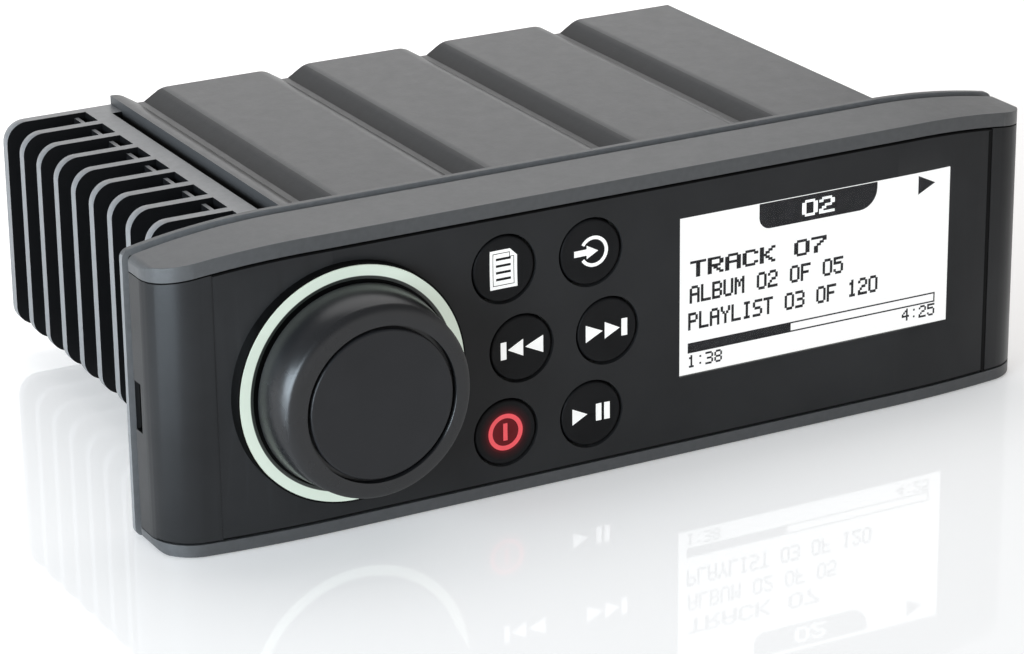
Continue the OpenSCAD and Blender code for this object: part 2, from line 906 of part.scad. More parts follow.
// Hollow knob with a hub on the encoder shaft and a recess for its cap
module knob_body() {
    inner_r = knob_front_r - knob_wall;
    color("#38393d")
    at_knob()
        turned()
            difference() {
                intersection() {
                    knob_profile();
                    square_from(knob_r, 0, knob_h);
                }
                difference() {
                    square_from(inner_r, 0, knob_roof_h);
                    square_from(hub_r, hub_h, knob_h);
                }
                square_from(shaft_r + run_gap, 0, shaft_h + seat_gap);
                square_from(cap_r + cap_gap, knob_h - cap_t, knob_h + cut);
            }
}

// Cap set into the front of the knob, with a rounded edge
module knob_cap() {
    edge = 0.5;
    color("#34353a")
    at_knob()
        turned() round_disc(cap_r, knob_h - cap_t, knob_h, edge);
}

// Shaft that turns in the bush, with a drum inside the encoder
module encoder_shaft() {
    color("#c9c9c9")
    at_knob() {
        rod(shaft_r, -shaft_h, shaft_h + drum_d + drum_t / 2);
        rod(drum_r - move_gap, drum_d, drum_t);
    }
}

// Disc behind the shaft that works the push switch and doesn't turn
module switch_plunger() {
    color("#e6e1d2")
    at_knob() rod(drum_r - move_gap, plunger_d, plunger_t);
}

// Square encoder on the front board with a threaded bush through the fascia
module encoder_body() {
    room_d = drum_d - move_gap;
    room_l = plunger_d + plunger_t + push_travel + move_gap - room_d;
    color("#4f5b52")
    at_knob()
        difference() {
            union() {
                slab(-encoder_h, encoder_t) square([encoder_w, encoder_w], center = true);
                rod(bush_r, -bush_h, bush_h - encoder_h + encoder_wall / 2);
            }
            rod(shaft_r + run_gap, -bush_h - cut, bush_h + room_d + 2 * cut);
            rod(drum_r, room_d, room_l);
        }
}

// Hexagon nut that clamps the bush to the dish
module encoder_nut() {
    color("#bdbdbd")
    at_knob()
        difference() {
            rotate([90, 0, 0]) translate([0, 0, dish_h]) cylinder(d = nut_af / cos(30), h = nut_t, $fn = 6);
            rod(bush_r + run_gap, -nut_h - cut, nut_t + 2 * cut);
        }
}

// Keys

// Round key with a dished front, an edge radius, a retaining flange and a flat against turning
module key(i) {
    front_h = -key_sink;
    back_h = -(key_stop_y + key_flange_t - front_y);
    edge = 0.5;
    dish_rad = key_r - 2 * edge;
    sphere_r = (pow(dish_rad, 2) + pow(key_dish, 2)) / (2 * key_dish);
    color("#19191b")
    translate([key_at[i].x, front_y, key_at[i].y])
        difference() {
            turned()
                difference() {
                    union() {
                        round_disc(key_r, back_h, front_h, edge);
                        square_from(key_flange_r, back_h, back_h + key_flange_t);
                    }
                    translate([0, front_h - key_dish + sphere_r]) circle(sphere_r, $fn = 360);
                }
            translate([-key_flange_r, 0, -key_flange_r - key_r])
                cube([2 * key_flange_r, board_depth, key_flange_r]);
        }
}

module menu_key() {
    key(0);
}

module source_key() {
    key(1);
}

module previous_key() {
    key(2);
}

module next_key() {
    key(3);
}

module power_key() {
    key(4);
}

module play_key() {
    key(5);
}

// Six switches on the front board, one behind each key
module key_switches() {
    color("#5d5d5d")
    at_places(key_at) {
        slab(switch_top_y + switch_nub_h, board_y - switch_top_y - switch_nub_h)
            square([switch_w, switch_w], center = true);
        rod(switch_nub_r, switch_top_y, board_y - switch_top_y);
    }
}

// Board that carries display, switches, lamps and encoder
module front_board() {
    color("#1f6b3a")
    slab(board_y, board_t)
        difference() {
            translate([0, fboard_z]) square([fboard_w, fboard_h], center = true);
            for (p = post_at) translate(p) circle(small_screw_r + seat_gap);
        }
}

// Screws through the front board into the fascia posts
module front_board_screws() {
    color("#c0c0c0")
    at_places(post_at)
        translate([0, board_back_y, 0]) rotate([0, 0, 180]) pan_screw(board_t + screw_bite);
}

// Chassis

// Folded sheet tub: floor, right wall, front wall and a low left fold, with posts, ribs and lugs
module chassis_tub() {
    wall_h = rim_z + floor_z;
    inner_x = body_right - ridge_right_x;
    color("#3d3d3d")
    difference() {
        union() {
            translate([ridge_right_x, 0, -floor_z]) cube([inner_x, rear_y, tub_t]);
            translate([body_right - tub_t, 0, -floor_z]) cube([tub_t, rear_y, wall_h]);
            translate([ridge_right_x, 0, -floor_z]) cube([inner_x, tub_t, wall_h]);
            translate([ridge_right_x, 0, -floor_z]) cube([tub_t, rear_y, fold_h + tub_t]);
            for (p = mpost_at)
                translate([p.x, p.y, -floor_z]) cylinder(r = main_post_r, h = main_board_z + floor_z);
            for (i = [1:rib_count])
                translate([ridge_right_x + i * inner_x / (rib_count + 1) - rib_w / 2, rib_end, -floor_z])
                    cube([rib_w, rear_y - 2 * rib_end, tub_t + rib_h]);
            for (x = lug_x)
                translate([x - lug_w / 2, rear_y - lug_l, -floor_z]) cube([lug_w, lug_l, lug_in + lug_w / 2]);
            translate([lug_x[1] - lug_w / 2, rear_y - lug_l, lug_z[1] - lug_w / 2])
                cube([lug_w / 2 + lug_in, lug_l, lug_w]);
        }
        slab(-cut, tub_t + 2 * cut) {
            front_window();
            for (p = frame_screw_at) translate(p) circle(small_screw_r + run_gap);
        }
        for (p = mpost_at)
            translate([p.x, p.y, tub_floor_z]) cylinder(r = small_screw_r + run_gap, h = face_h);
        at_places(rear_screw_at) rod(small_screw_r + run_gap, rear_y - lug_l - cut, lug_l + 2 * cut);
        for (y = tab_y)
            translate([0, y, tab_screw_z])
                cross_rod(small_screw_r + run_gap, body_right + cut, tub_t + 2 * cut);
        for (y = fold_screw_y)
            translate([0, y, fold_screw_z])
                cross_rod(small_screw_r + run_gap, ridge_right_x + tub_t + cut, tub_t + 2 * cut);
    }
}

// Screws through the flange into the chassis front
module chassis_screws() {
    color("#c0c0c0")
    at_places(frame_screw_at) translate([0, -flange_t, 0]) pan_screw(flange_t + tub_t + screw_room);
}

// Points of one groove of the cover from left to right: round shoulder, floor, round shoulder
function groove_points(x) =
    let (
        slope = atan(groove_d / groove_run),
        shoulder = groove_w / 2 + panel_r * tan(slope / 2),
        middle_z = cover_z - panel_r,
        floor_h = cover_z - groove_d
    )
    concat(
        arc([x - shoulder, middle_z], panel_r, 90, 90 - slope, shoulder_steps),
        [[x - groove_floor / 2, floor_h], [x + groove_floor / 2, floor_h]],
        arc([x + shoulder, middle_z], panel_r, 90 + slope, 90, shoulder_steps)
    );

// Section of the ribbed cover from its rim to its top
module cover_section() {
    polygon(concat(
        [[body_right, cover_z], [body_right, rim_z], [ridge_x, rim_z], [ridge_x, cover_z]],
        [
            for (i = [0:groove_count - 1])
                each groove_points(ridge_right_x + groove_w / 2 + i * panel_pitch)
        ]
    ));
}

// Ribbed cover: a shallow tray with three full grooves, one edge groove, closed ends and side tabs
module top_cover() {
    inner_w = body_right - ridge_right_x - cover_t;
    color("#7d7d7d")
    difference() {
        union() {
            difference() {
                slab(0, body_l) cover_section();
                slab(cover_t, body_l - 2 * cover_t)
                    intersection() {
                        translate([0, -cover_t]) cover_section();
                        translate([ridge_right_x, rim_z - cut]) square([inner_w, cover_z]);
                    }
            }
            for (y = tab_y)
                translate([tab_x - tab_t, y - tab_w / 2, rim_z - tab_drop])
                    cube([tab_t, tab_w, cover_z - cover_t / 2 - rim_z + tab_drop]);
        }
        for (y = tab_y)
            translate([0, y, tab_screw_z]) cross_rod(small_screw_r + run_gap, body_right, 2 * tab_t);
    }
}

// Screws through the right wall of the tub into the tabs of the cover
module cover_screws() {
    color("#c0c0c0")
    for (y = tab_y) translate([body_right, y, tab_screw_z]) rotate([0, 0, 90]) pan_screw(tub_t + tab_t);
}

// Finned casting: base wall, channel, inner wall and a row of fins with rounded corners
module heat_sink() {
    height = fin_z + floor_z;
    color("#8a8a8a")
    difference() {
        union() {
            translate([base_x, 0, -floor_z]) cube([base_t, body_l, height]);
            translate([base_right_x - fuse, 0, -floor_z]) cube([channel_w + fuse, body_l, height]);
            translate([ridge_x - fuse, 0, -floor_z]) cube([ridge_w + fuse, body_l, rim_z + floor_z]);
            translate([ridge_right_x - fuse, rear_y - lug_l, lug_z[1] - lug_w / 2])
                cube([fuse + lug_in + lug_w / 2, lug_l, lug_w]);
            for (i = [0:fin_count - 1])
                slab(body_l - fin_t - i * fin_pitch, fin_t) fin_outline();
            for (i = [0:fin_count - 2])
                translate([web_x, body_l - (i + 1) * fin_pitch - fuse / 2, -floor_z + fin_r])
                    cube([web_t, fin_pitch - fin_t + fuse, height - fin_r - web_drop]);
        }
        translate([base_right_x, channel_front, channel_z])
            cube([channel_w, body_l - channel_front - channel_rear, face_h]);
        at_places(rear_screw_at) rod(small_screw_r + run_gap, rear_y - lug_l - cut, lug_l + 2 * cut);
        for (y = clamp_screw_y)
            translate([0, y, clamp_screw_z])
                cross_rod(small_screw_r + run_gap, ridge_right_x + cut, cut + screw_bite + screw_room);
        for (y = fold_screw_y)
            translate([0, y, fold_screw_z])
                cross_rod(small_screw_r + run_gap, ridge_right_x + cut, cut + screw_bite + screw_room);
    }
}

// Screws through the left fold of the tub into the heat sink
module sink_screws() {
    color("#c0c0c0")
    for (y = fold_screw_y)
        translate([ridge_right_x + tub_t, y, fold_screw_z]) rotate([0, 0, 90]) pan_screw(tub_t + screw_bite);
}

// Fin seen from the front: square at the base, round at its two outer corners
module fin_outline() {
    height = fin_z + floor_z;
    translate([fin_x + fin_r, -floor_z]) square([fin_reach - fin_r + fuse, height]);
    translate([fin_x, -floor_z + fin_r]) square([fin_reach, height - 2 * fin_r]);
    for (z = [-floor_z + fin_r, fin_z - fin_r]) translate([fin_x + fin_r, z]) circle(fin_r);
}

// Rear plate with openings for the sockets
module rear_panel() {
    color("#3a3a3a")
    difference() {
        translate([ridge_right_x, rear_y, -floor_z])
            cube([body_right - ridge_right_x, tub_t, rim_z + floor_z]);
        slab(rear_y - cut, tub_t + 2 * cut) {
            translate(harness_at)
                square([harness_w + 2 * seat_gap, harness_h + 2 * seat_gap], center = true);
            translate(network_at) circle(network_shank_r + seat_gap);
            translate(aerial_at) circle(aerial_r + aerial_wall + seat_gap);
            for (p = rear_screw_at) translate(p) circle(small_screw_r + run_gap);
        }
    }
}

// Screws of the rear panel, heads to the rear
module rear_screws() {
    color("#c0c0c0")
    at_places(rear_screw_at) translate([0, body_l, 0]) rotate([0, 0, 180]) pan_screw(tub_t + screw_bite);
}

// Inside the chassis

module main_board() {
    color("#1f6b3a")
    translate([0, 0, main_board_z])
        linear_extrude(board_t)
            difference() {
                translate([mboard_x0, mboard_y0]) square([mboard_x1 - mboard_x0, mboard_y1 - mboard_y0]);
                for (p = mpost_at) translate(p) circle(small_screw_r + seat_gap);
            }
}

module board_screws() {
    color("#c0c0c0")
    for (p = mpost_at)
        translate([p.x, p.y, main_top_z]) rotate([-90, 0, 0]) pan_screw(board_t + screw_bite);
}

// Flat power package against the heat sink, with a row of bent leads into the main board
module amplifier_chip() {
    reach = mboard_x0 - ridge_right_x;
    row_y = (chip_l - (lead_count - 1) * lead_pitch - lead_w) / 2;
    color("#202022")
    translate([ridge_right_x, chip_y, 0]) {
        translate([0, 0, chip_z]) cube([chip_t, chip_l, chip_h]);
        for (i = [0:lead_count - 1])
            translate([chip_t / 2, row_y + i * lead_pitch, 0]) {
                translate([0, 0, chip_z + lead_rise]) cube([reach, lead_w, lead_w]);
                translate([reach - lead_w, 0, main_top_z])
                    cube([lead_w, lead_w, chip_z + lead_rise + lead_w - main_top_z]);
            }
    }
}

// Steel bar that presses the chip against the heat sink, with a foot at each end
module chip_clamp() {
    bar_l = chip_l + 2 * clamp_end;
    bar_x = ridge_right_x + chip_t + clamp_t;
    color("#b5b5b5")
    difference() {
        translate([ridge_right_x, chip_y - clamp_end, clamp_screw_z - clamp_h / 2]) {
            translate([chip_t, 0, 0]) cube([clamp_t, bar_l, clamp_h]);
            for (y = [0, bar_l - clamp_foot])
                translate([0, y, 0]) cube([chip_t + clamp_t / 2, clamp_foot, clamp_h]);
        }
        for (y = clamp_screw_y)
            translate([0, y, clamp_screw_z])
                cross_rod(small_screw_r + run_gap, bar_x + cut, bar_x - ridge_right_x + 2 * cut);
    }
}

module clamp_screws() {
    color("#c0c0c0")
    for (y = clamp_screw_y)
        translate([ridge_right_x + chip_t + clamp_t, y, clamp_screw_z])
            rotate([0, 0, 90]) pan_screw(chip_t + clamp_t + screw_bite);
}

// Reservoir capacitors standing on the main board
module capacitors() {
    color("#2b3140")
    for (i = [0:cap_count - 1])
        translate([cap_at.x + i * (2 * cap_can_r + cap_space), cap_at.y, main_top_z])
            rotate_extrude() round_disc(cap_can_r, 0, cap_can_h, cap_edge);
}

// Shielded choke with cut corners
module inductor() {
    color("#55565a")
    translate([choke_at.x, choke_at.y, main_top_z])
        intersection() {
            translate([-choke_w / 2, -choke_w / 2, 0]) cube([choke_w, choke_w, choke_h]);
            cylinder(r = choke_r, h = choke_h);
        }
}

// Screened radio tuner that carries the aerial socket
module tuner_module() {
    color("#bfc3c6")
    translate([aerial_at.x - tuner_w / 2, rear_y - aerial_in - tuner_l, main_top_z])
        cube([tuner_w, tuner_l, tuner_h]);
}

// Small radio module on the back of the front board
module wireless_module() {
    color("#9fa3a6")
    slab(board_back_y, radio_t) translate(radio_at) square([radio_w, radio_h]);
}

// Flat cable from the front board to the main board
module ribbon_cable() {
    end_y = mboard_y0 + ribbon_end;
    color("#d8d8d4")
    translate([ribbon_x, 0, 0]) {
        translate([0, board_back_y, ribbon_z]) cube([ribbon_w, end_y - board_back_y, ribbon_t]);
        translate([0, end_y - ribbon_t, main_top_z])
            cube([ribbon_w, ribbon_t, ribbon_z + ribbon_t - main_top_z]);
    }
}

// Shrouded socket for the supply and loudspeaker harness
module harness_socket() {
    depth = harness_l + tub_t;
    outline = [harness_w, harness_h];
    wall = [harness_wall, harness_wall];
    lip = [harness_lip, harness_lip];
    color("#1d1d1f")
    translate([harness_at.x, 0, harness_at.y])
        difference() {
            union() {
                slab(rear_y - harness_lip, depth + harness_lip) square(outline, center = true);
                slab(rear_y - harness_lip, harness_lip) square(outline + 2 * lip, center = true);
            }
            slab(rear_y, depth + cut) square(outline - 2 * wall, center = true);
            slab(rear_y + depth - latch_d, latch_d + cut)
                translate([0, harness_h / 2]) square([latch_w, 4 * harness_wall], center = true);
        }
}

// Two rows of blades on the floor of the harness socket
module harness_contacts() {
    color("#c9a94a")
    translate([harness_at.x, 0, harness_at.y])
        for (i = [0:blade_columns - 1], row = [-1, 1])
            slab(rear_y, blade_l)
                translate([(i - (blade_columns - 1) / 2) * blade_pitch, row * blade_row])
                    square([blade_w, blade_h], center = true);
}

// Round collar for the network lead, with a flange on the panel and a ring of contact holes
module network_socket() {
    tip = network_flange_t + network_l;
    color("#b08d3c")
    translate([network_at.x, body_l, network_at.y])
        difference() {
            union() {
                rod(network_r, 0, tip);
                rod(network_flange_r, 0, network_flange_t);
                rod(network_shank_r, -tub_t - network_shank_l, tub_t + network_shank_l + fuse);
            }
            rod(network_r - network_rim, tip - network_rim, network_rim + cut);
            for (i = [0:contact_count - 1])
                translate(contact_ring_r * [cos(i * 360 / contact_count), 0, sin(i * 360 / contact_count)])
                    rod(contact_r, tip - network_rim - contact_d, contact_d + network_rim + cut);
        }
}

// Hexagon nut behind the panel that holds the network socket
module network_nut() {
    color("#b08d3c")
    translate([network_at.x, rear_y, network_at.y])
        difference() {
            rotate([90, 0, 0]) cylinder(d = network_nut_af / cos(30), h = network_nut_t, $fn = 6);
            rod(network_shank_r + run_gap, -network_nut_t - cut, network_nut_t + 2 * cut);
        }
}

// Round aerial socket with a blind bore
module aerial_socket() {
    barrel_r = aerial_r + aerial_wall;
    tip = tub_t + aerial_out;
    color("#c4c6c8")
    translate([aerial_at.x, rear_y, aerial_at.y])
        difference() {
            union() {
                rod(barrel_r, -aerial_in, aerial_in + tip);
                rod(barrel_r + aerial_lip, -aerial_lip, aerial_lip);
            }
            rod(aerial_r, tip - aerial_l, aerial_l + cut);
        }
}

bezel();
fascia();
left_screw_cover();
right_screw_cover();
face_seal();
mounting_flange();
panel_seal();
face_screws();
lcd_lens();
lcd_panel();
lcd_backlight();
light_ring();
ring_lamps();
knob_body();
knob_cap();
encoder_shaft();
switch_plunger();
encoder_body();
encoder_nut();
menu_key();
source_key();
previous_key();
next_key();
power_key();
play_key();
key_switches();
front_board();
front_board_screws();
chassis_tub();
chassis_screws();
top_cover();
cover_screws();
heat_sink();
sink_screws();
rear_panel();
rear_screws();
main_board();
board_screws();
amplifier_chip();
chip_clamp();
clamp_screws();
capacitors();
inductor();
tuner_module();
wireless_module();
ribbon_cable();
harness_socket();
harness_contacts();
network_socket();
network_nut();
aerial_socket();
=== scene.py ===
"""Dresses the marine stereo: finishes, key signs, screen content, light, floor and camera.

Everything is in metres in the frame of the solids: +X right, +Y to the rear, +Z up, seen from
the front. Lengths below are written in millimetres and scaled once, where a mesh is made.
"""

import json
import math

import bmesh
import bpy
from mathutils import Matrix, Vector

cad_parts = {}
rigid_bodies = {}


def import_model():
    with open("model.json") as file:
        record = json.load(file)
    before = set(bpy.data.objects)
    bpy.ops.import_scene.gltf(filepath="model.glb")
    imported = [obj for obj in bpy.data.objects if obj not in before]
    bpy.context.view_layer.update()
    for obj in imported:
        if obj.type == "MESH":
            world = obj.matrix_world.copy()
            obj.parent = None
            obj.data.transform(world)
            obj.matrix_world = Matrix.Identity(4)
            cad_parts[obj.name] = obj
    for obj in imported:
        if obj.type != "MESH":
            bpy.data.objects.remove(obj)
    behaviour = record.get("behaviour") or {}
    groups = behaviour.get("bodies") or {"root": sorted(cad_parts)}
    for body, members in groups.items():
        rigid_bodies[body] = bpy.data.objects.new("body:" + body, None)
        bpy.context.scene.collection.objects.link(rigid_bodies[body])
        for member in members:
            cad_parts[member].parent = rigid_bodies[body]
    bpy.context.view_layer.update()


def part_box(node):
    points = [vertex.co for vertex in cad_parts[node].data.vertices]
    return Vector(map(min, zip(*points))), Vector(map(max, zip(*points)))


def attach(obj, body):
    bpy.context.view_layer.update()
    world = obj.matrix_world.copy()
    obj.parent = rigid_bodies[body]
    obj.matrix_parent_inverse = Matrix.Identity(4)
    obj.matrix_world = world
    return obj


MM = 0.001
RANGE_SOCKETS = ("From Min", "From Max", "To Min", "To Max")

# Sizes on the face, in millimetres
DISH_R = 26.0
DISH_WALL = 25.2
DISH_RISE = 0.05
RING_INNER = 21.0
# Half width of the soft edge of the painted shade along the ring's inner rim
RING_RIM_SHADE_EDGE = 0.06
KEY_RIM = 0.4
KEY_DISH = 0.2
KEY_DISH_R = 5.5
KEY_GLOW_R = 5.6
SIGN_PROUD = 0.04
SIGN_DEPTH = 0.14
SIGN_CELL = 0.8
NOTCH_Z = -2.3
NOTCH_HALF = 4.85
NOTCH_DEPTH = 3.0
NOTCH_MARGIN = 0.1
NOTCH_SKIN = 0.3

# Seams and roundings of the face and the bezel, in millimetres
BROW_ROUNDING = 0.7
SEAM_ROUNDING = 0.45
SEAM_PROUD = 0.03
LIP_DEPTH = 1.5
LIP_BACK = 0.03
LIP_GAP = 0.01
FOOT_BAND = 1.0
FACE_TOP_BAND = 3.0
BEZEL_TOP_BAND = 6.0

# The right seam's strip of painted shade lies between these two points, in x and y, of the face's curve
RIGHT_SEAM = ((84.5, -17.13), (85.29, -17.04))

# The knob's flank leans by this depth between two places in y, along a curve of this power
FLARE_SPAN = (-23.0, -32.4)
FLARE_DEPTH = 2.5
FLARE_TURN = 2.5

# The fins' grey edges, the cover's left wall and the heights between which that wall's painted shade turns
# to grey
FIN_EDGE = 6.0
WALL_BAND = 0.3
CHANNEL_SHADE = (18.0, 22.0)

# Share of a face's direction along an axis, in the tests of which way it looks
MAINLY = 0.7
HALFWAY = 0.5
FORWARD = 0.3
SLIGHTLY = 0.2
GROOVE_SLOPE = (-0.95, -0.25)

# Screen content, in millimetres from the display's lower left corner
DISPLAY_BORDER = 1.0
INK_DEPTH = 0.03
INK_AHEAD = 0.05
LIGHT_AHEAD = 0.09
LARGE_DOT = (0.66, 0.47)
SMALL_DOT = (0.425, 0.5)
NARROW_DOT = (0.41, 0.5)
FIGURE_DOT = (0.34, 0.36)
BOLD = 0.3
HALF_BOLD = 0.18
SCREEN_LINES = (
    ("TRACK 07", 2.9, 19.8, LARGE_DOT, BOLD),
    ("ALBUM 02 OF 05", 2.8, 14.5, SMALL_DOT, HALF_BOLD),
    ("PLAYLIST 03 OF 120", 2.5, 9.0, NARROW_DOT, HALF_BOLD),
)
SCREEN_ARROW = ((55.7, 27.7), (59.7, 29.65), (55.7, 31.6))
TAB_WORD = "02"
TAB_MIDDLE = 32.0
TAB_BASE = 27.8
BAR_LEFT = 2.4
BAR_PLAYED = 26.1
BAR_RIGHT = 60.4
BAR_FOOT = 4.2
BAR_HEAD = 6.3
BAR_PEN = 0.3
TIME_PLAYED = "1:38"
TIME_WHOLE = "4:25"
TIME_BASES = (1.2, 1.4)

# Camera, found from the photograph's straight edges
CAMERA_AT = (-0.3376, -0.5967, 0.2525)
CAMERA_AZIMUTH = math.radians(-28.39)
CAMERA_ELEVATION = math.radians(20.69)
CAMERA_ROLL = math.radians(-0.675)
FOCAL_PIXELS = 3730.0
IMAGE_WIDTH = 1024.0
SENSOR_MM = 36.0
CLIP_START = 0.01

# Floor: its height in millimetres, its half width in metres and its colour
FLOOR_Z = -29.85
FLOOR_HALF = 3.0
FLOOR_WHITE = (0.86, 0.84, 0.825)

# What the floor shows of its own: from the first to the second number between two places in y, in metres
FLOOR_LIFT = (0.25, 0.4, -0.1, 0.2)

# Brightness of the room: it runs from the third to the fourth number between two heights of the sky
STUDIO_FALL = (0.05, 0.36, 1.0, 0.33)

# Lamps: name, place, width and height in metres, radiance and colour
WHITE = (1.0, 1.0, 1.0)
COOL_WHITE = (0.76, 0.89, 1.0)
LAMP_AIM = (0.0, 0.03, 0.0)
LAMPS = (
    ("overhead", (0.28, 0.4, 0.95), (1.2, 1.0), 1.6, WHITE),
    ("left", (-0.85, -0.28, 0.16), (0.8, 0.36), 13.0, COOL_WHITE),
    ("rear", (0.2, 1.2, 0.38), (1.3, 0.4), 1.1, WHITE),
)

# Main colours, the keys' shine and the levels of what is lit
BEZEL_GREY = (0.075, 0.075, 0.076)
ROOF_GREY = (0.052, 0.052, 0.053)
# Painted shade on the left slopes of the cover's ribs
GROOVE_SHADE_GREY = (0.026, 0.026, 0.027)
FACE_BLACK = (0.020, 0.020, 0.0206)
KEY_BLACK = (0.006, 0.006, 0.0065)
# Black of the ring's dish, and painted shade in the seams, the pry notches and the sink's channel
DISH_AND_SHADE_BLACK = (0.002, 0.002, 0.002)
RING_MILK = (0.35, 0.4, 0.35)
# Painted shade along the ring's inner rim, faintly green as if lit by the ring
RING_RIM_SHADE = (0.022, 0.026, 0.022)
KEY_ROUGHNESS = 0.5
KEY_SHINE = 0.15
RING_LEVEL = 0.64
DISPLAY_LEVEL = 0.97
DISPLAY_DOTS_PER_METRE = 3800.0

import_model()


class Finish:
    """One procedural material, built up from a principled shader in the object's own metres."""

    def __init__(self, name, colour, roughness, **sockets):
        self.material = bpy.data.materials.new(name)
        self.material.use_nodes = True
        self.tree = self.material.node_tree
        self.shader = self.tree.nodes["Principled BSDF"]
        self.put("Base Color", (*colour, 1.0))
        self.put("Roughness", roughness)
        for socket, value in sockets.items():
            self.put(socket.replace("_", " "), value)
        self.place = self.add("ShaderNodeTexCoord").outputs["Object"]

    def put(self, socket, value):
        self.shader.inputs[socket].default_value = value

    def add(self, kind, **settings):
        node = self.tree.nodes.new(kind)
        for key, value in settings.items():
            setattr(node, key, value)
        return node

    def link(self, source, target):
        self.tree.links.new(source, target)

    def stretched(self, scale):
        """The object's place, scaled along each axis."""
        node = self.add("ShaderNodeMapping")
        node.inputs["Scale"].default_value = scale
        self.link(self.place, node.inputs["Vector"])
        return node.outputs["Vector"]

    def noise(self, scale, detail=3.0, roughness=0.55, place=None):
        node = self.add("ShaderNodeTexNoise")
        node.inputs["Scale"].default_value = scale
        node.inputs["Detail"].default_value = detail
        node.inputs["Roughness"].default_value = roughness
        self.link(place or self.place, node.inputs["Vector"])
        return node.outputs["Fac"]

    def cells(self, scale, **settings):
        node = self.add("ShaderNodeTexVoronoi", feature="F1", **settings)
        node.inputs["Scale"].default_value = scale
        self.link(self.place, node.inputs["Vector"])
        return node.outputs["Distance"]

    def along(self, axis):
        """The object's place along X, Y or Z, in metres."""
        node = self.add("ShaderNodeSeparateXYZ")
        self.link(self.place, node.inputs["Vector"])
        return node.outputs[axis]

    def spread(self, value, low, high, start=0.3, end=0.7):
        """A number that runs from low to high while the given value runs from start to end."""
        node = self.add("ShaderNodeMapRange")
        for socket, number in zip(RANGE_SOCKETS, (start, end, low, high)):
            node.inputs[socket].default_value = number
        self.link(value, node.inputs["Value"])
        return node.outputs["Result"]

    def ramp(self, value, stops):
        """A colour picked along the given stops of place and colour."""
        node = self.add("ShaderNodeValToRGB")
        elements = node.color_ramp.elements
        while len(elements) < len(stops):
            elements.new(0.5)
        for element, (place, colour) in zip(elements, stops):
            element.position = place
            element.color = (*colour, 1.0)
        self.link(value, node.inputs["Fac"])
        return node.outputs["Color"]

    def tint(self, value, low, high, start=0.3, end=0.7):
        self.link(self.ramp(value, [(start, low), (end, high)]), self.shader.inputs["Base Color"])

    def gloss(self, value, low, high):
        self.link(self.spread(value, low, high), self.shader.inputs["Roughness"])

    def relief(self, value, depth_mm):
        """A bump of the given depth, on top of the bumps added before it."""
        node = self.add("ShaderNodeBump")
        node.inputs["Strength"].default_value = 1.0
        node.inputs["Distance"].default_value = depth_mm * MM
        self.link(value, node.inputs["Height"])
        normal = self.shader.inputs["Normal"]
        if normal.is_linked:
            self.link(normal.links[0].from_socket, node.inputs["Normal"])
        self.link(node.outputs["Normal"], normal)

    def radius_from(self, x_mm, z_mm):
        """Distance in metres from an axis that runs front to back."""
        node = self.add("ShaderNodeVectorMath", operation="MULTIPLY_ADD")
        node.inputs[1].default_value = (1.0, 0.0, 1.0)
        node.inputs[2].default_value = (-x_mm * MM, 0.0, -z_mm * MM)
        self.link(self.place, node.inputs[0])
        length = self.add("ShaderNodeVectorMath", operation="LENGTH")
        self.link(node.outputs["Vector"], length.inputs[0])
        return length.outputs["Value"]


def lighter(colour, factor):
    return tuple(min(1.0, part * factor) for part in colour)


def painted(name, colour, roughness, grain_mm=0.35, depth_mm=0.03, **sockets):
    """Satin paint on metal or plastic: orange-peel grain, slow tone changes, faint rub marks."""
    finish = Finish(name, colour, roughness, **sockets)
    finish.tint(finish.noise(700.0, 4.0), lighter(colour, 0.92), lighter(colour, 1.08))
    finish.gloss(finish.noise(260.0, 5.0, 0.65), roughness - 0.02, roughness + 0.03)
    finish.relief(finish.noise(1.0 / (grain_mm * MM), 2.0), depth_mm)
    return finish


def moulded(name, colour, roughness, grain_mm=0.22, depth_mm=0.02, **sockets):
    """Moulded plastic with an etched tool grain and a little handling polish."""
    finish = Finish(name, colour, roughness, **sockets)
    finish.tint(finish.noise(45.0, 4.0), lighter(colour, 0.82), lighter(colour, 1.2))
    finish.gloss(finish.noise(35.0, 4.0, 0.6), roughness - 0.06, roughness + 0.06)
    finish.relief(finish.cells(1.0 / (grain_mm * MM)), depth_mm)
    return finish


def channel_wall():
    """Painted shade on the cover's wall over the sink's channel: black low down, turning to the cover's
    grey towards its rim.
    """
    finish = painted("channel_wall", ROOF_GREY, 0.45, 0.4, 0.02)
    low, high = (height * MM for height in CHANNEL_SHADE)
    shade = finish.spread(finish.along("Z"), 0.0, 1.0, low, high)
    finish.tint(shade, DISH_AND_SHADE_BLACK, ROOF_GREY, 0.1, 0.9)
    return finish


def flared_flank(name, colour, roughness):
    """The knob's moulding, whose flank leans back towards its front edge."""
    finish = moulded(name, colour, roughness, 0.2, 0.006, Specular_IOR_Level=0.48)
    base, front = (place * MM for place in FLARE_SPAN)
    lean = finish.add("ShaderNodeMath", operation="POWER")
    lean.inputs[1].default_value = FLARE_TURN
    finish.link(finish.spread(finish.along("Y"), 0.0, 1.0, base, front), lean.inputs[0])
    finish.relief(finish.spread(lean.outputs["Value"], 1.0, 0.0, 0.0, 1.0), FLARE_DEPTH)
    return finish


def brushed(name, colour, roughness, streak=(40.0, 2600.0, 2600.0)):
    """Rolled or brushed metal: streaks along one axis, and slow staining."""
    finish = Finish(name, colour, roughness, Metallic=1.0)
    streaks = finish.noise(1.0, 3.0, place=finish.stretched(streak))
    finish.tint(finish.noise(50.0, 5.0), lighter(colour, 0.85), lighter(colour, 1.08))
    finish.gloss(streaks, roughness - 0.07, roughness + 0.1)
    finish.relief(streaks, 0.006)
    return finish


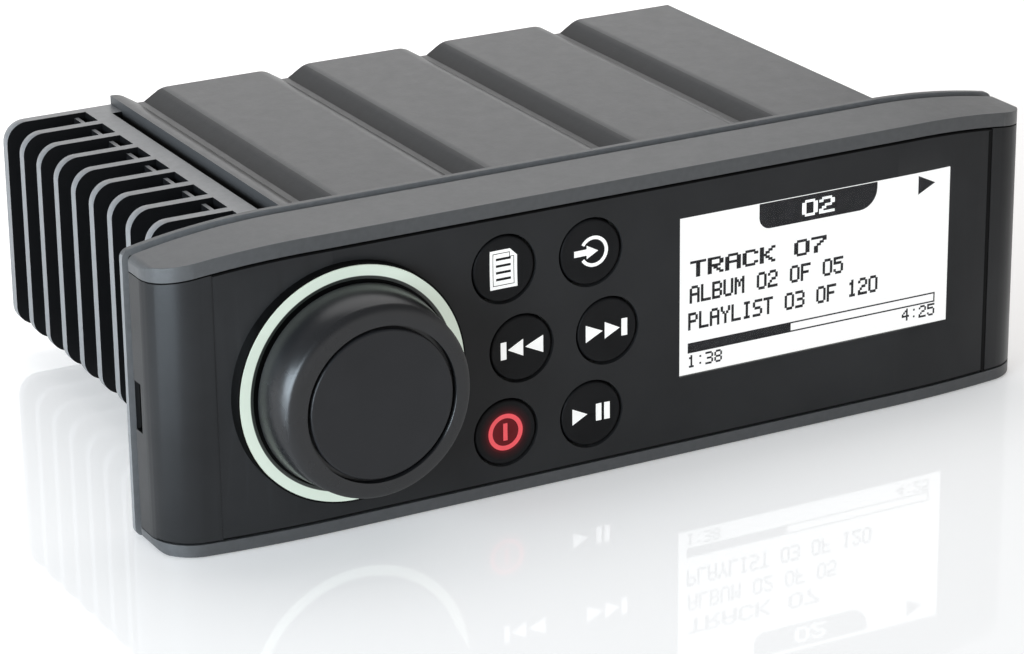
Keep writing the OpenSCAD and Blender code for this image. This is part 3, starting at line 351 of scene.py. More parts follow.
def soft_rubber(name, colour, roughness, shine):
    """Silicone or neoprene: very fine matt grain with a dusty bloom."""
    finish = Finish(name, colour, roughness, Specular_IOR_Level=shine)
    finish.tint(finish.noise(120.0, 5.0), lighter(colour, 0.8), lighter(colour, 1.35))
    finish.gloss(finish.noise(80.0, 3.0), roughness - 0.05, roughness + 0.08)
    finish.relief(finish.noise(7000.0, 2.0), 0.012)
    return finish


def lit_key(centre):
    """The power key's rubber, with the red lamp's glow spreading from its sign."""
    finish = soft_rubber("power_rubber", KEY_BLACK, KEY_ROUGHNESS, KEY_SHINE)
    radius = finish.spread(finish.radius_from(*centre), 0.0, 1.0, 0.0, KEY_GLOW_R * MM)
    glow = finish.ramp(radius, [(0.0, (0.09, 0.001, 0.003)), (0.62, (0.12, 0.003, 0.006)),
                                (0.78, (0.02, 0.0004, 0.001)), (1.0, (0.0, 0.0, 0.0))])
    finish.link(glow, finish.shader.inputs["Emission Color"])
    finish.put("Emission Strength", 1.0)
    return finish


def ring_diffuser(centre):
    """Milky light pipe, lit from behind by four lamps, with painted shade along its inner rim, dark and
    faintly green as if lit by the ring.
    """
    finish = Finish("ring_glow", RING_MILK, 0.35)
    radius = finish.radius_from(*centre)
    rim_shade = (RING_INNER - RING_RIM_SHADE_EDGE) * MM, (RING_INNER + RING_RIM_SHADE_EDGE) * MM
    haze = finish.noise(90.0, 3.0)
    glow = finish.ramp(haze, [(0.25, (0.56, 0.63, 0.54)), (0.75, (0.66, 0.73, 0.63))])
    finish.link(glow, finish.shader.inputs["Emission Color"])
    finish.link(finish.spread(radius, 0.0, RING_LEVEL, *rim_shade), finish.shader.inputs["Emission Strength"])
    finish.tint(finish.spread(radius, 0.0, 1.0, *rim_shade), RING_RIM_SHADE, RING_MILK, 0.0, 1.0)
    finish.relief(finish.noise(2500.0, 2.0), 0.01)
    return finish


def display_panel():
    """White graphic display: a fine dot grid, a little uneven."""
    finish = Finish("display_white", (0.1, 0.1, 0.1), 0.5)
    grid = finish.add("ShaderNodeTexBrick", offset=0.0, squash=1.0)
    settings = {
        "Color1": (0.93, 0.935, 0.93, 1.0),
        "Color2": (0.91, 0.92, 0.915, 1.0),
        "Mortar": (0.86, 0.87, 0.87, 1.0),
        "Scale": 1.0,
        "Mortar Size": 0.05,
        "Brick Width": 1.0,
        "Row Height": 1.0,
    }
    for socket, value in settings.items():
        grid.inputs[socket].default_value = value
    turned = finish.add("ShaderNodeMapping")
    turned.inputs["Rotation"].default_value = (math.radians(90.0), 0.0, 0.0)
    turned.inputs["Scale"].default_value = (DISPLAY_DOTS_PER_METRE,) * 3
    finish.link(finish.place, turned.inputs["Vector"])
    finish.link(turned.outputs["Vector"], grid.inputs["Vector"])
    finish.link(grid.outputs["Color"], finish.shader.inputs["Emission Color"])
    finish.put("Emission Strength", DISPLAY_LEVEL)
    finish.gloss(finish.noise(200.0), 0.45, 0.55)
    return finish


def clear_lens():
    """Hard clear window with faint wiping marks."""
    finish = Finish("lens_clear_hard", (1.0, 1.0, 1.0), 0.03, Transmission_Weight=1.0, IOR=1.3,
                    Specular_IOR_Level=0.3)
    finish.gloss(finish.noise(120.0, 4.0), 0.015, 0.04)
    return finish


def glowing_sign(name, colour, strength):
    """Printed sign lit through the key: bright in the middle of its strokes, a little cloudy."""
    finish = Finish(name, lighter(colour, 0.5), 0.45)
    cloud = finish.noise(700.0, 2.0)
    shade = finish.ramp(cloud, [(0.3, lighter(colour, 0.9)), (0.7, colour)])
    finish.link(shade, finish.shader.inputs["Emission Color"])
    finish.put("Emission Strength", strength)
    return finish


def screen_ink():
    """Dark dots of the display, a little uneven."""
    finish = Finish("screen_ink", (0.012, 0.012, 0.014), 0.5, Specular_IOR_Level=0.1)
    finish.tint(finish.noise(900.0), (0.008, 0.008, 0.01), (0.02, 0.02, 0.024))
    return finish


def circuit_board():
    """Green solder mask over square fields of copper."""
    finish = Finish("board_mask", (0.02, 0.11, 0.05), 0.35)
    tracks = finish.cells(320.0, distance="CHEBYCHEV")
    finish.tint(tracks, (0.012, 0.075, 0.032), (0.03, 0.15, 0.07), 0.3, 0.5)
    finish.relief(tracks, 0.03)
    return finish


def ribbed_cable():
    """Flat cable, one rib for each of its wires."""
    finish = Finish("ribbon_grey", (0.42, 0.43, 0.44), 0.5)
    waves = finish.add("ShaderNodeTexWave", wave_type="BANDS", bands_direction="X")
    waves.inputs["Scale"].default_value = 160.0
    finish.link(finish.place, waves.inputs["Vector"])
    finish.tint(waves.outputs["Fac"], (0.3, 0.31, 0.32), (0.5, 0.51, 0.52))
    finish.relief(waves.outputs["Fac"], 0.1)
    return finish


FINISHES = {
    "bezel_paint": painted("bezel_paint", BEZEL_GREY, 0.38, 0.3, 0.015, Specular_IOR_Level=0.38),
    "fascia_satin": moulded("fascia_satin", FACE_BLACK, 0.36, 0.2, 0.008, Specular_IOR_Level=0.18,
                            Sheen_Weight=0.1, Sheen_Roughness=0.3),
    # Black of the ring's dish, also painted shade in the seams and the pry notches
    "dish_black": moulded("dish_black", DISH_AND_SHADE_BLACK, 0.5, 0.2, 0.008, Specular_IOR_Level=0.08),
    "knob_satin": flared_flank("knob_satin", (0.010, 0.010, 0.011), 0.3),
    "knob_cap_satin": moulded("knob_cap_satin", (0.014, 0.014, 0.0155), 0.38, 0.2, 0.006,
                              Specular_IOR_Level=0.3),
    "key_rubber": soft_rubber("key_rubber", KEY_BLACK, KEY_ROUGHNESS, KEY_SHINE),
    "seal_rubber": soft_rubber("seal_rubber", (0.004, 0.004, 0.004), 0.7, 0.05),
    "display_white": display_panel(),
    "lens_clear_hard": clear_lens(),
    "roof_paint": painted("roof_paint", ROOF_GREY, 0.36, 0.4, 0.02, Specular_IOR_Level=0.36),
    # Painted shade on the left slopes of the cover's ribs
    "groove_paint": painted("groove_paint", GROOVE_SHADE_GREY, 0.45, 0.4, 0.02, Specular_IOR_Level=0.3),
    "tub_paint": painted("tub_paint", (0.05, 0.05, 0.052), 0.45, 0.45, 0.03),
    "rear_paint": painted("rear_paint", (0.03, 0.03, 0.031), 0.45, 0.45, 0.03),
    "sink_black": painted("sink_black", (0.006, 0.006, 0.0065), 0.55, 0.35, 0.02, Specular_IOR_Level=0.15),
    "sink_edge": painted("sink_edge", (0.19, 0.19, 0.193), 0.38, 0.3, 0.015),
    # Painted shade in the sink's channel, on the cover's left wall
    "channel_wall": channel_wall(),
    "flange_paint": painted("flange_paint", (0.18, 0.18, 0.182), 0.4, 0.3, 0.01),
    "tin_plate": brushed("tin_plate", (0.62, 0.62, 0.62), 0.38),
    "screw_plated": brushed("screw_plated", (0.55, 0.55, 0.54), 0.3, (900.0, 900.0, 900.0)),
    "shaft_steel": brushed("shaft_steel", (0.6, 0.6, 0.6), 0.25, (2600.0, 60.0, 2600.0)),
    "contact_brass": brushed("contact_brass", (0.72, 0.52, 0.22), 0.3, (900.0, 900.0, 900.0)),
    "black_nylon": moulded("black_nylon", (0.014, 0.014, 0.014), 0.5, 0.4, 0.03),
    "white_nylon": moulded("white_nylon", (0.62, 0.61, 0.57), 0.5, 0.4, 0.03),
    "board_mask": circuit_board(),
    "ribbon_grey": ribbed_cable(),
    "can_sleeve": moulded("can_sleeve", (0.02, 0.025, 0.05), 0.3, 0.5, 0.02),
    "choke_grey": moulded("choke_grey", (0.1, 0.1, 0.11), 0.6, 0.5, 0.06),
    "lamp_white": moulded("lamp_white", (0.7, 0.72, 0.66), 0.4, 0.4, 0.02),
    "sign_white": glowing_sign("sign_white", (0.9, 0.9, 0.88), 0.75),
    "sign_red": glowing_sign("sign_red", (0.72, 0.075, 0.09), 0.85),
    "screen_ink": screen_ink(),
    "screen_light": glowing_sign("screen_light", (0.9, 0.91, 0.9), 0.85),
}

NODE_FINISH = {
    "bezel": "bezel_paint",
    "fascia": "fascia_satin",
    "left_screw_cover": "fascia_satin",
    "right_screw_cover": "fascia_satin",
    "face_seal": "seal_rubber",
    "panel_seal": "seal_rubber",
    "mounting_flange": "flange_paint",
    "face_screws": "screw_plated",
    "lcd_lens": "lens_clear_hard",
    "lcd_panel": "display_white",
    "lcd_backlight": "white_nylon",
    "light_ring": "ring_glow",
    "ring_lamps": "lamp_white",
    "knob_body": "knob_satin",
    "knob_cap": "knob_cap_satin",
    "encoder_shaft": "shaft_steel",
    "switch_plunger": "white_nylon",
    "encoder_body": "black_nylon",
    "encoder_nut": "screw_plated",
    "menu_key": "key_rubber",
    "source_key": "key_rubber",
    "previous_key": "key_rubber",
    "next_key": "key_rubber",
    "power_key": "power_rubber",
    "play_key": "key_rubber",
    "key_switches": "black_nylon",
    "front_board": "board_mask",
    "front_board_screws": "screw_plated",
    "chassis_tub": "tub_paint",
    "chassis_screws": "screw_plated",
    "top_cover": "roof_paint",
    "cover_screws": "screw_plated",
    "heat_sink": "sink_edge",
    "sink_screws": "screw_plated",
    "rear_panel": "rear_paint",
    "rear_screws": "screw_plated",
    "main_board": "board_mask",
    "board_screws": "screw_plated",
    "amplifier_chip": "black_nylon",
    "chip_clamp": "tin_plate",
    "clamp_screws": "screw_plated",
    "capacitors": "can_sleeve",
    "inductor": "choke_grey",
    "tuner_module": "tin_plate",
    "wireless_module": "tin_plate",
    "ribbon_cable": "ribbon_grey",
    "harness_socket": "white_nylon",
    "harness_contacts": "contact_brass",
    "network_socket": "black_nylon",
    "network_nut": "screw_plated",
    "aerial_socket": "screw_plated",
}

# Width in millimetres of the rounding that each visible node gets on its sharp edges
EDGE_ROUNDING = {
    "bezel": 0.25,
    "fascia": 0.1,
    "left_screw_cover": 0.08,
    "right_screw_cover": 0.2,
    "mounting_flange": 0.15,
    "knob_cap": 0.12,
    "top_cover": 0.25,
    "heat_sink": 0.2,
    "chassis_tub": 0.2,
    "rear_panel": 0.2,
    "harness_socket": 0.2,
    "network_socket": 0.15,
    "aerial_socket": 0.15,
}
ROUNDED_FROM = math.radians(35.0)

# Nodes whose flat faces are each shaded as one
FLAT_SHEETS = ("rear_panel", "mounting_flange")
FLAT_WITHIN = math.radians(0.1)
WELD_WITHIN = 1e-6

SCREW_COVERS = ("left_screw_cover", "right_screw_cover")


def node_object(node):
    return next(obj for obj in bpy.data.objects if obj.type == "MESH" and obj.name.split(".")[0] == node)


def box_mm(node):
    """Lowest and highest corner of a node at rest, in millimetres."""
    return [[part / MM for part in corner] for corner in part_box(node)]


def axis_of(node, front_band=None):
    """Middle in x and z of a round node, or only of what lies within a band behind its front."""
    points = [Vector(vert.co) / MM for vert in node_object(node).data.vertices]
    if front_band is not None:
        front = min(point.y for point in points)
        points = [point for point in points if point.y < front + front_band]
    sides = [point.x for point in points], [point.z for point in points]
    return tuple((min(values) + max(values)) / 2.0 for values in sides)


def dress(node, finish):
    """Give a node one finish in every material slot that it has."""
    for slot in node_object(node).material_slots:
        slot.material = finish.material


def finish_faces(obj, finish, chosen):
    """Give another finish to the faces chosen by their centre, in millimetres, and their direction."""
    obj.data.materials.append(finish.material)
    added = len(obj.data.materials) - 1
    for face in obj.data.polygons:
        if chosen(Vector(face.center) / MM, face.normal):
            face.material_index = added
    return added


def edge_group(obj, name, first, second):
    """Group the vertices where a face chosen by one test meets a face chosen by another."""
    def spot(index):
        return tuple(round(part, 7) for part in obj.data.vertices[index].co)

    ends = (set(), set())
    for face in obj.data.polygons:
        centre = Vector(face.center) / MM
        for spots, test in zip(ends, (first, second)):
            if test(centre, face.normal):
                spots.update(spot(index) for index in face.vertices)
    shared = ends[0] & ends[1]
    group = obj.vertex_groups.new(name=name)
    group.add([vert.index for vert in obj.data.vertices if spot(vert.index) in shared], 1.0, "REPLACE")
    return group


def weld(obj, flatten=False):
    """Join the faces' borders, and with flatten also the triangles of each flat face."""
    joined = obj.modifiers.new("weld", "WELD")
    joined.merge_threshold = WELD_WITHIN
    if flatten:
        flat = obj.modifiers.new("flat", "DECIMATE")
        flat.decimate_type = "DISSOLVE"
        flat.angle_limit = FLAT_WITHIN


def round_group(obj, group, width_mm, material=-1):
    """Round the edges inside a group of vertices, in their own finish or in the given one."""
    bevel = obj.modifiers.new(group.name, "BEVEL")
    bevel.limit_method = "VGROUP"
    bevel.vertex_group = group.name
    bevel.width = width_mm * MM
    bevel.segments = 4
    bevel.material = material
    bevel.harden_normals = True


def round_edges(obj, width_mm):
    """Round every sharp edge a little, so that it catches light."""
    bevel = obj.modifiers.new("edge", "BEVEL")
    bevel.limit_method = "ANGLE"
    bevel.angle_limit = ROUNDED_FROM
    bevel.width = width_mm * MM
    bevel.segments = 2
    bevel.harden_normals = True


def round_brow(bezel):
    """The top and bottom of the bezel turn softly into its front."""
    low, high = box_mm("bezel")

    def top_or_foot(at, n):
        top = n.z > MAINLY and at.z > high[2] - BEZEL_TOP_BAND
        foot = n.z < -MAINLY and at.z < low[2] + FOOT_BAND
        return top or foot

    def front(at, n):
        return abs(n.z) < HALFWAY and n.y < SLIGHTLY

    group = edge_group(bezel, "brow", top_or_foot, front)
    weld(bezel, flatten=True)
    round_group(bezel, group, BROW_ROUNDING)


def darken_seams(node, walls):
    """Painted shade in the seams: borders of the face turn black where they fall into the seams; walls
    tells by name which side walls these are.
    """
    obj = node_object(node)
    weld(obj)
    for name, chosen in walls.items():
        black = finish_faces(obj, FINISHES["dish_black"], chosen)
        group = edge_group(obj, name, chosen, lambda at, n: n.y < -FORWARD)
        round_group(obj, group, SEAM_ROUNDING, black)


def darken_face_seams():
    """Painted shade: black seams above and below the face and its covers, and black on the bezel's own
    walls beside them.
    """
    low, high = box_mm("fascia")
    x, z = axis_of("light_ring")

    def top(at, n):
        beside_dish = math.hypot(at.x - x, at.z - z) > DISH_WALL
        return n.z > MAINLY and at.z > high[2] - FACE_TOP_BAND and beside_dish

    def foot(at, n):
        return n.z < -MAINLY and at.z < low[2] + FOOT_BAND

    def side(at, n):
        return abs(n.x) > MAINLY and low[2] + BEZEL_TOP_BAND < at.z < high[2] - BEZEL_TOP_BAND

    for node in ("fascia", *SCREW_COVERS):
        darken_seams(node, {"seam_top": top, "seam_foot": foot})
    finish_faces(node_object("bezel"), FINISHES["dish_black"], side)


def darken_notches():
    """Painted shade: the pry notches at the ends of the face are coloured black inside."""
    for node in SCREW_COVERS:
        low, high = box_mm(node)
        end = max(abs(low[0]), abs(high[0])) - NOTCH_SKIN
        back = high[1] - NOTCH_DEPTH - NOTCH_MARGIN
        reach = NOTCH_HALF + NOTCH_MARGIN
        finish_faces(node_object(node), FINISHES["dish_black"],
                     lambda at, n: at.y > back and abs(at.z - NOTCH_Z) < reach
                     and (abs(n.x) < MAINLY or abs(at.x) < end))


def mesh_piece(name, bm, finish, body):
    """Make a piece of the scene from a mesh: it rides on a body and takes its finish from a slot."""
    bmesh.ops.recalc_face_normals(bm, faces=bm.faces[:])
    mesh = bpy.data.meshes.new(name)
    bm.to_mesh(mesh)
    bm.free()
    obj = bpy.data.objects.new(name, mesh)
    bpy.context.scene.collection.objects.link(obj)
    mesh.materials.append(finish.material)
    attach(obj, body)


def plate(bm, outline, front_y, depth):
    """A thin solid from an outline of (x, z) points, front face at front_y; all in millimetres."""
    front = [bm.verts.new((x * MM, front_y * MM, z * MM)) for x, z in outline]
    face = bm.faces.new(front)
    grown = bmesh.ops.extrude_face_region(bm, geom=[face])
    moved = [part for part in grown["geom"] if isinstance(part, bmesh.types.BMVert)]
    bmesh.ops.translate(bm, verts=moved, vec=(0.0, depth * MM, 0.0))


def arc_points(centre, radius, start, end, steps):
    """Points along an arc between two angles in degrees."""
    cx, cz = centre
    angles = [math.radians(start + (end - start) * i / steps) for i in range(steps + 1)]
    return [(cx + radius * math.cos(a), cz + radius * math.sin(a)) for a in angles]


def arc_band(centre, inner, outer, start, end, steps):
    """Quads of a ring, or of a part of one, as outlines."""
    inside = arc_points(centre, inner, start, end, steps)
    outside = arc_points(centre, outer, start, end, steps)
    return [[inside[i], outside[i], outside[i + 1], inside[i + 1]] for i in range(steps)]


def bar(x0, x1, z0, z1):
    """An upright rectangle."""
    return [(x0, z0), (x1, z0), (x1, z1), (x0, z1)]


def close_left_seam():
    """A lip on the left end of the face, against which its screw cover closes."""
    left = box_mm("fascia")[0][0]
    low, high = box_mm("left_screw_cover")
    bm = bmesh.new()
    outline = bar(high[0] + LIP_GAP, left - LIP_GAP, low[2], high[2] - SEAM_ROUNDING)
    plate(bm, outline, low[1] + LIP_BACK, LIP_DEPTH)
    mesh_piece("left_lip", bm, FINISHES["fascia_satin"], "housing")


def mark_right_seam():
    """Painted shade: a black strip along the right end of the face, where its seam with the screw cover
    falls into shade.
    """
    low, high = box_mm("right_screw_cover")
    bm = bmesh.new()
    ends = []
    for z in (low[2], high[2] - SEAM_ROUNDING):
        ends.append([bm.verts.new(Vector((x, y + step, z)) * MM)
                     for step in (-SEAM_PROUD, SEAM_ROUNDING) for x, y in RIGHT_SEAM])
    for a, b in ((0, 1), (1, 3), (3, 2), (2, 0)):
        bm.faces.new((ends[0][a], ends[0][b], ends[1][b], ends[1][a]))
    for end in ends:
        bm.faces.new([end[index] for index in (0, 1, 3, 2)])
    mesh_piece("right_joint", bm, FINISHES["dish_black"], "housing")


def blacken_dish(fascia):
    """The raised dish under the ring and its side walls are coloured black, darker than the face around
    it.
    """
    front = box_mm("bezel")[0][1]
    x, z = axis_of("light_ring")
    finish_faces(fascia, FINISHES["dish_black"],
                 lambda at, n: math.hypot(at.x - x, at.z - z) < DISH_R
                 and (at.y < front - DISH_RISE or abs(n.y) < HALFWAY))


def blacken_fins(sink):
    """Fins and the wall between them are black; their edges and the casting's top stay grey."""
    tip = box_mm("heat_sink")[0][0]
    finish_faces(sink, FINISHES["sink_black"],
                 lambda at, n: abs(n.y) > HALFWAY or (abs(n.x) > HALFWAY and at.x > tip + FIN_EDGE))


def shade_cover(cover):
    """Painted shade: the cover's left wall and the left slopes of its ribs are coloured darker than its
    tops.
    """
    wall = box_mm("top_cover")[0][0] + WALL_BAND
    steep, shallow = GROOVE_SLOPE
    finish_faces(cover, FINISHES["channel_wall"], lambda at, n: n.x < -MAINLY and at.x < wall)
    finish_faces(cover, FINISHES["groove_paint"],
                 lambda at, n: steep < n.x < shallow and n.z > SLIGHTLY)


def pointer(tip, base, half):
    """A triangle that points along x."""
    return [(tip, 0.0), (base, half), (base, -half)]


def mirrored(shapes):
    return [[(-x, z) for x, z in outline] for outline in shapes]


def shifted(outline, x0, z0):
    return [(x0 + x, z0 + z) for x, z in outline]


def page_sign():
    """A sheet with a folded corner, a thin line inside its rim and four lines of writing, left dark."""
    w, h, fold, rim, groove, line, field = 2.9, 3.85, 1.5, 0.6, 0.16, 0.5, 0.55
    inner_w, inner_h = w - rim - groove, h - rim - groove
    shapes = [
        bar(-w, -w + rim, -h, h),
        bar(w - rim, w, -h, h - fold),
        bar(-w + rim, w - rim, -h, -h + rim),
        bar(-w + rim, w - fold, h - rim, h),
        [(w - fold, h - fold), (w, h - fold), (w - fold, h)],
        bar(-inner_w, -inner_w + field, -inner_h, inner_h),
        bar(inner_w - field, inner_w, -inner_h, h - fold - groove),
    ]
    rows = 4
    pitch = (2.0 * inner_h + line) / (rows + 1)
    for i in range(rows + 1):
        low = -inner_h + i * pitch
        right = inner_w - field if i < rows else w - fold - groove
        shapes.append(bar(-inner_w + field, right, low, low + pitch - line))
    return shapes


def source_sign():
    """An arrow into a ring that is open on the left."""
    shapes = arc_band((0.75, 0.0), 2.4, 3.1, -148.0, 148.0, 40)
    shapes.append(bar(-3.5, -0.75, -0.62, 0.62))
    shapes.append([(-0.75, -1.35), (1.75, 0.0), (-0.75, 1.35)])
    return shapes


def previous_sign():
    return [bar(-4.45, -3.2, -1.75, 1.75), pointer(-2.85, 0.45, 1.7), pointer(0.9, 4.7, 1.75)]


def next_sign():
    return mirrored(previous_sign())


def power_sign():
    return arc_band((0.0, 0.0), 2.8, 3.7, 0.0, 360.0, 64) + [bar(-0.45, 0.45, -1.75, 1.75)]


def play_sign():
    return [pointer(-0.75, -4.1, 1.65), bar(1.15, 2.35, -1.75, 1.75), bar(2.95, 4.15, -1.75, 1.75)]


def lay_in_dish(bm, centre, key_front):
    """Cut the sign into small cells and lay them on the key's hollow face."""
    reach = int(KEY_DISH_R / SIGN_CELL)
    for axis, middle in ((0, centre[0]), (2, centre[1])):
        normal = [0.0, 0.0, 0.0]
        normal[axis] = 1.0
        for i in range(-reach, reach + 1):
            spot = [0.0, 0.0, 0.0]
            spot[axis] = (middle + i * SIGN_CELL) * MM
            geom = bm.verts[:] + bm.edges[:] + bm.faces[:]
            bmesh.ops.bisect_plane(bm, geom=geom, plane_co=spot, plane_no=normal)
    for vert in bm.verts:
        radius = math.hypot(vert.co.x / MM - centre[0], vert.co.z / MM - centre[1])
        hollow = KEY_DISH * max(0.0, 1.0 - (radius / KEY_DISH_R) ** 2)
        vert.co.y += (key_front + hollow) * MM


def key_sign(node, body, shapes, finish):
    """A key's sign as a thin piece that follows the key's hollow face."""
    centre = axis_of(node, KEY_RIM)
    bm = bmesh.new()
    for outline in shapes:
        plate(bm, shifted(outline, *centre), -SIGN_PROUD, SIGN_DEPTH)
    lay_in_dish(bm, centre, box_mm(node)[0][1])
    mesh_piece(node.replace("key", "sign"), bm, finish, body)


# Dots of the screen's letters and figures, five to a row, top row first
DOTS = {
    "A": ("01110", "10001", "10001", "11111", "10001", "10001", "10001"),
    "B": ("11110", "10001", "10001", "11110", "10001", "10001", "11110"),
    "C": ("01110", "10001", "10000", "10000", "10000", "10001", "01110"),
    "F": ("11111", "10000", "10000", "11110", "10000", "10000", "10000"),
    "I": ("01110", "00100", "00100", "00100", "00100", "00100", "01110"),
    "K": ("10001", "10010", "10100", "11000", "10100", "10010", "10001"),
    "L": ("10000", "10000", "10000", "10000", "10000", "10000", "11111"),
    "M": ("10001", "11011", "10101", "10101", "10001", "10001", "10001"),
    "O": ("01110", "10001", "10001", "10001", "10001", "10001", "01110"),
    "P": ("11110", "10001", "10001", "11110", "10000", "10000", "10000"),
    "R": ("11110", "10001", "10001", "11110", "10100", "10010", "10001"),
    "S": ("01111", "10000", "10000", "01110", "00001", "00001", "11110"),
    "T": ("11111", "00100", "00100", "00100", "00100", "00100", "00100"),
    "U": ("10001", "10001", "10001", "10001", "10001", "10001", "01110"),
    "Y": ("10001", "10001", "01010", "00100", "00100", "00100", "00100"),
    "0": ("01110", "10001", "10001", "10001", "10001", "10001", "01110"),
    "1": ("00100", "01100", "00100", "00100", "00100", "00100", "01110"),
    "2": ("01110", "10001", "00001", "00110", "01000", "10000", "11111"),
    "3": ("11110", "00001", "00001", "01110", "00001", "00001", "11110"),
    "4": ("00010", "00110", "01010", "10010", "11111", "00010", "00010"),
    "5": ("11111", "10000", "11110", "00001", "00001", "10001", "01110"),
    "7": ("11111", "00001", "00010", "00100", "01000", "01000", "01000"),
    "8": ("01110", "10001", "10001", "01110", "10001", "10001", "01110"),
    ":": ("00000", "00100", "00000", "00000", "00000", "00100", "00000"),
    " ": ("00000",) * 7,
}
DOT_ROWS = 7
DOT_COLUMNS = 6
DOT_SPREAD = 0.08


def runs_of(row):
    """Start and end of each run of dots in a row."""
    runs, start = [], None
    for i, dot in enumerate(row + "0"):
        if dot == "1" and start is None:
            start = i
        if dot == "0" and start is not None:
            runs.append((start, i))
            start = None
    return runs


def write(bm, words, left, base, dot, y, bold=0.0):
    """Write words in dots of the given width and height on the screen's face; all in millimetres."""
    wide, tall = dot
    for place, letter in enumerate(words):
        x = left + place * DOT_COLUMNS * wide
        for row, dots in enumerate(DOTS[letter]):
            low = base + (DOT_ROWS - 1 - row) * tall
            for start, end in runs_of(dots):
                outline = bar(x + (start - DOT_SPREAD) * wide, x + (end + DOT_SPREAD + bold) * wide,
                              low - DOT_SPREAD * tall, low + (1.0 + DOT_SPREAD) * tall)
                plate(bm, outline, y, INK_DEPTH)


def text_width(words, wide):
    return (len(words) * DOT_COLUMNS - 1) * wide


def tab_outline():
    """The dark tab at the screen's upper edge, round at its two lower corners."""
    return (arc_points((21.0, 29.3), 2.5, 180.0, 270.0, 8)
            + arc_points((41.8, 30.9), 4.1, 270.0, 360.0, 8)
            + [(45.9, 32.1), (18.5, 32.1)])


def progress_outlines():
    """The progress bar: full where the track was played, and a thin frame round the rest."""
    return [
        bar(BAR_LEFT, BAR_PLAYED, BAR_FOOT, BAR_HEAD),
        bar(BAR_PLAYED, BAR_RIGHT, BAR_FOOT, BAR_FOOT + BAR_PEN),
        bar(BAR_PLAYED, BAR_RIGHT, BAR_HEAD - BAR_PEN, BAR_HEAD),
        bar(BAR_RIGHT - BAR_PEN, BAR_RIGHT, BAR_FOOT + BAR_PEN, BAR_HEAD - BAR_PEN),
    ]


def screen_content():
    """Tab, arrow, three lines, progress bar and times, just in front of the display's face."""
    low = box_mm("lcd_panel")[0]
    x0, z0 = low[0] + DISPLAY_BORDER, low[2] + DISPLAY_BORDER
    ink_y, light_y = low[1] - INK_AHEAD, low[1] - LIGHT_AHEAD
    ink = bmesh.new()
    for outline in (tab_outline(), SCREEN_ARROW):
        plate(ink, shifted(outline, x0, z0), ink_y, INK_DEPTH)
    for words, left, base, dot, bold in SCREEN_LINES:
        write(ink, words, x0 + left, z0 + base, dot, ink_y, bold)
    for outline in progress_outlines():
        plate(ink, shifted(outline, x0, z0), ink_y, INK_DEPTH)
    lefts = (BAR_LEFT, BAR_RIGHT - text_width(TIME_WHOLE, FIGURE_DOT[0]))
    for words, left, base in zip((TIME_PLAYED, TIME_WHOLE), lefts, TIME_BASES):
        write(ink, words, x0 + left, z0 + base, FIGURE_DOT, ink_y)
    mesh_piece("screen_text", ink, FINISHES["screen_ink"], "housing")
    light = bmesh.new()
    left = TAB_MIDDLE - text_width(TAB_WORD, LARGE_DOT[0]) / 2.0
    write(light, TAB_WORD, x0 + left, z0 + TAB_BASE, LARGE_DOT, light_y, BOLD)
    mesh_piece("screen_tab_text", light, FINISHES["screen_light"], "housing")


def dress_nodes():
    """Give every node its finish, and a second one to the faces that have another look."""
    FINISHES["ring_glow"] = ring_diffuser(axis_of("light_ring"))
    FINISHES["power_rubber"] = lit_key(axis_of("power_key", KEY_RIM))
    for node, finish in NODE_FINISH.items():
        dress(node, FINISHES[finish])
    blacken_dish(node_object("fascia"))
    blacken_fins(node_object("heat_sink"))
    shade_cover(node_object("top_cover"))
    # Painted shade: the flange's upward faces take the bezel's darker grey, so its top is darker than its
    # lit left edge
    finish_faces(node_object("mounting_flange"), FINISHES["bezel_paint"], lambda at, n: n.z > HALFWAY)
    darken_face_seams()
    darken_notches()


def round_nodes():
    """Roundings of the nodes' edges, and even shading of their flat faces."""
    round_brow(node_object("bezel"))
    for node, width in EDGE_ROUNDING.items():
        obj = node_object(node)
        if not obj.modifiers:
            weld(obj, flatten=node in FLAT_SHEETS)
        round_edges(obj, width)
    for node in ("bezel", *FLAT_SHEETS):
        evened = node_object(node).modifiers.new("normals", "WEIGHTED_NORMAL")
        evened.keep_sharp = True


def add_signs():
    white, red = FINISHES["sign_white"], FINISHES["sign_red"]
    key_sign("menu_key", "menu_button", page_sign(), white)
    key_sign("source_key", "source_button", source_sign(), white)
    key_sign("previous_key", "previous_button", previous_sign(), white)
    key_sign("next_key", "next_button", next_sign(), white)
    key_sign("power_key", "power_button", power_sign(), red)
    key_sign("play_key", "play_button", play_sign(), white)


def add_camera():
    """A camera at the photograph's viewing angle."""
    a, e, r = CAMERA_AZIMUTH, CAMERA_ELEVATION, CAMERA_ROLL
    forward = -Vector((math.sin(a) * math.cos(e), -math.cos(a) * math.cos(e), math.sin(e)))
    right = forward.cross(Vector((0.0, 0.0, 1.0))).normalized()
    down = forward.cross(right)
    axis_x = right * math.cos(r) - down * math.sin(r)
    axis_y = -(right * math.sin(r) + down * math.cos(r))
    turn = Matrix((axis_x, axis_y, -forward)).transposed().to_4x4()
    data = bpy.data.cameras.new("camera")
    data.sensor_width = SENSOR_MM
    data.lens = FOCAL_PIXELS / IMAGE_WIDTH * SENSOR_MM
    data.clip_start = CLIP_START
    camera = bpy.data.objects.new("camera", data)
    camera.matrix_world = Matrix.Translation(CAMERA_AT) @ turn
    bpy.context.scene.collection.objects.link(camera)
    bpy.context.scene.camera = camera


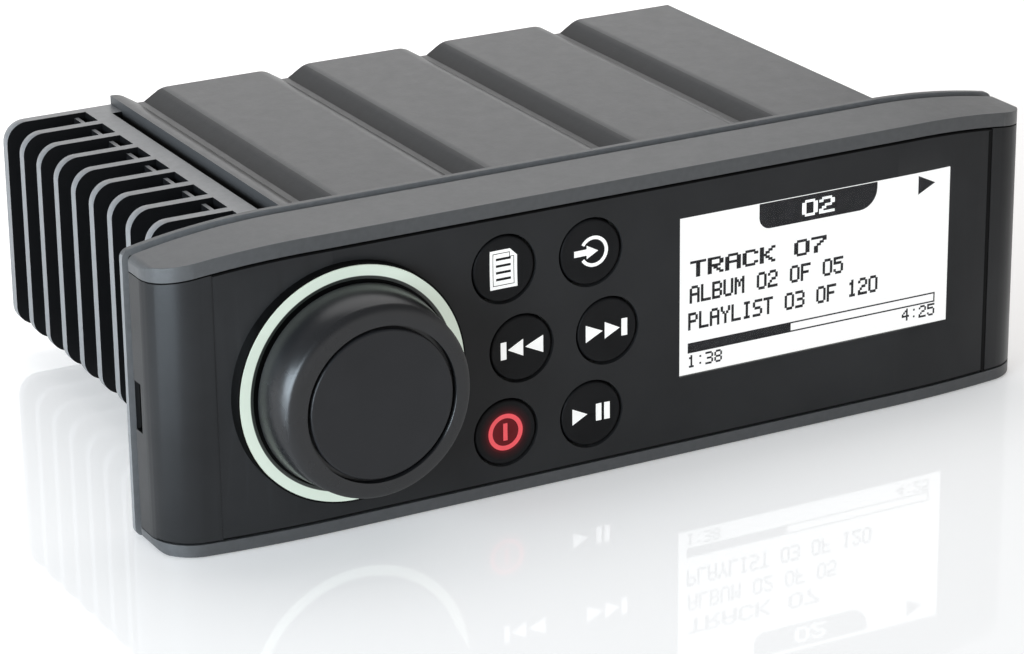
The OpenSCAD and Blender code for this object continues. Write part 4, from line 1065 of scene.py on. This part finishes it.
def add_softbox(name, at, size, radiance, colour):
    """A rectangular lamp of even brightness that faces the object."""
    data = bpy.data.lights.new(name, "AREA")
    data.shape = "RECTANGLE"
    data.size, data.size_y = size
    data.energy = radiance * math.pi * size[0] * size[1]
    data.color = colour
    lamp = bpy.data.objects.new(name, data)
    lamp.location = at
    lamp.rotation_euler = (Vector(LAMP_AIM) - Vector(at)).to_track_quat("-Z", "Y").to_euler()
    lamp.visible_camera = False
    bpy.context.scene.collection.objects.link(lamp)


def add_studio():
    """A room that is white at the horizon and falls to grey overhead."""
    world = bpy.data.worlds.new("studio")
    world.use_nodes = True
    tree = world.node_tree
    back = tree.nodes["Background"]
    back.inputs["Color"].default_value = (1.0, 1.0, 1.0, 1.0)
    place = tree.nodes.new("ShaderNodeTexCoord")
    split = tree.nodes.new("ShaderNodeSeparateXYZ")
    level = tree.nodes.new("ShaderNodeMapRange")
    for socket, number in zip(RANGE_SOCKETS, STUDIO_FALL):
        level.inputs[socket].default_value = number
    tree.links.new(place.outputs["Generated"], split.inputs["Vector"])
    tree.links.new(split.outputs["Z"], level.inputs["Value"])
    tree.links.new(level.outputs["Result"], back.inputs["Strength"])
    bpy.context.scene.world = world


def add_light():
    for lamp in LAMPS:
        add_softbox(*lamp)


def seen_by_viewer(finish, strength):
    """A strength for what the camera, mirrors and glass see, and none for the light on the object."""
    path = finish.add("ShaderNodeLightPath")
    total = path.outputs["Is Camera Ray"]
    for ray in ("Is Glossy Ray", "Is Transmission Ray"):
        either = finish.add("ShaderNodeMath", operation="MAXIMUM")
        finish.link(total, either.inputs[0])
        finish.link(path.outputs[ray], either.inputs[1])
        total = either.outputs["Value"]
    part = finish.add("ShaderNodeMath", operation="MULTIPLY")
    finish.link(total, part.inputs[0])
    finish.link(strength, part.inputs[1])
    return part.outputs["Value"]


def add_floor():
    """Glossy white table top, which holds a faint mirror image under the object."""
    bm = bmesh.new()
    height = Matrix.Translation((0.0, 0.0, FLOOR_Z * MM))
    bmesh.ops.create_grid(bm, x_segments=8, y_segments=8, size=FLOOR_HALF, matrix=height)
    mesh = bpy.data.meshes.new("floor")
    bm.to_mesh(mesh)
    bm.free()
    floor = bpy.data.objects.new("floor", mesh)
    bpy.context.scene.collection.objects.link(floor)
    finish = Finish("floor_white", FLOOR_WHITE, 0.02, Specular_IOR_Level=0.5)
    finish.gloss(finish.noise(3.0, 2.0), 0.015, 0.03)
    finish.put("Emission Color", (1.0, 1.0, 1.0, 1.0))
    sweep = finish.spread(finish.along("Y"), *FLOOR_LIFT)
    finish.link(seen_by_viewer(finish, sweep), finish.shader.inputs["Emission Strength"])
    mesh.materials.append(finish.material)


bpy.context.scene.view_settings.view_transform = "Standard"
add_camera()
dress_nodes()
round_nodes()
close_left_seam()
mark_right_seam()
add_signs()
screen_content()
add_studio()
add_light()
add_floor()
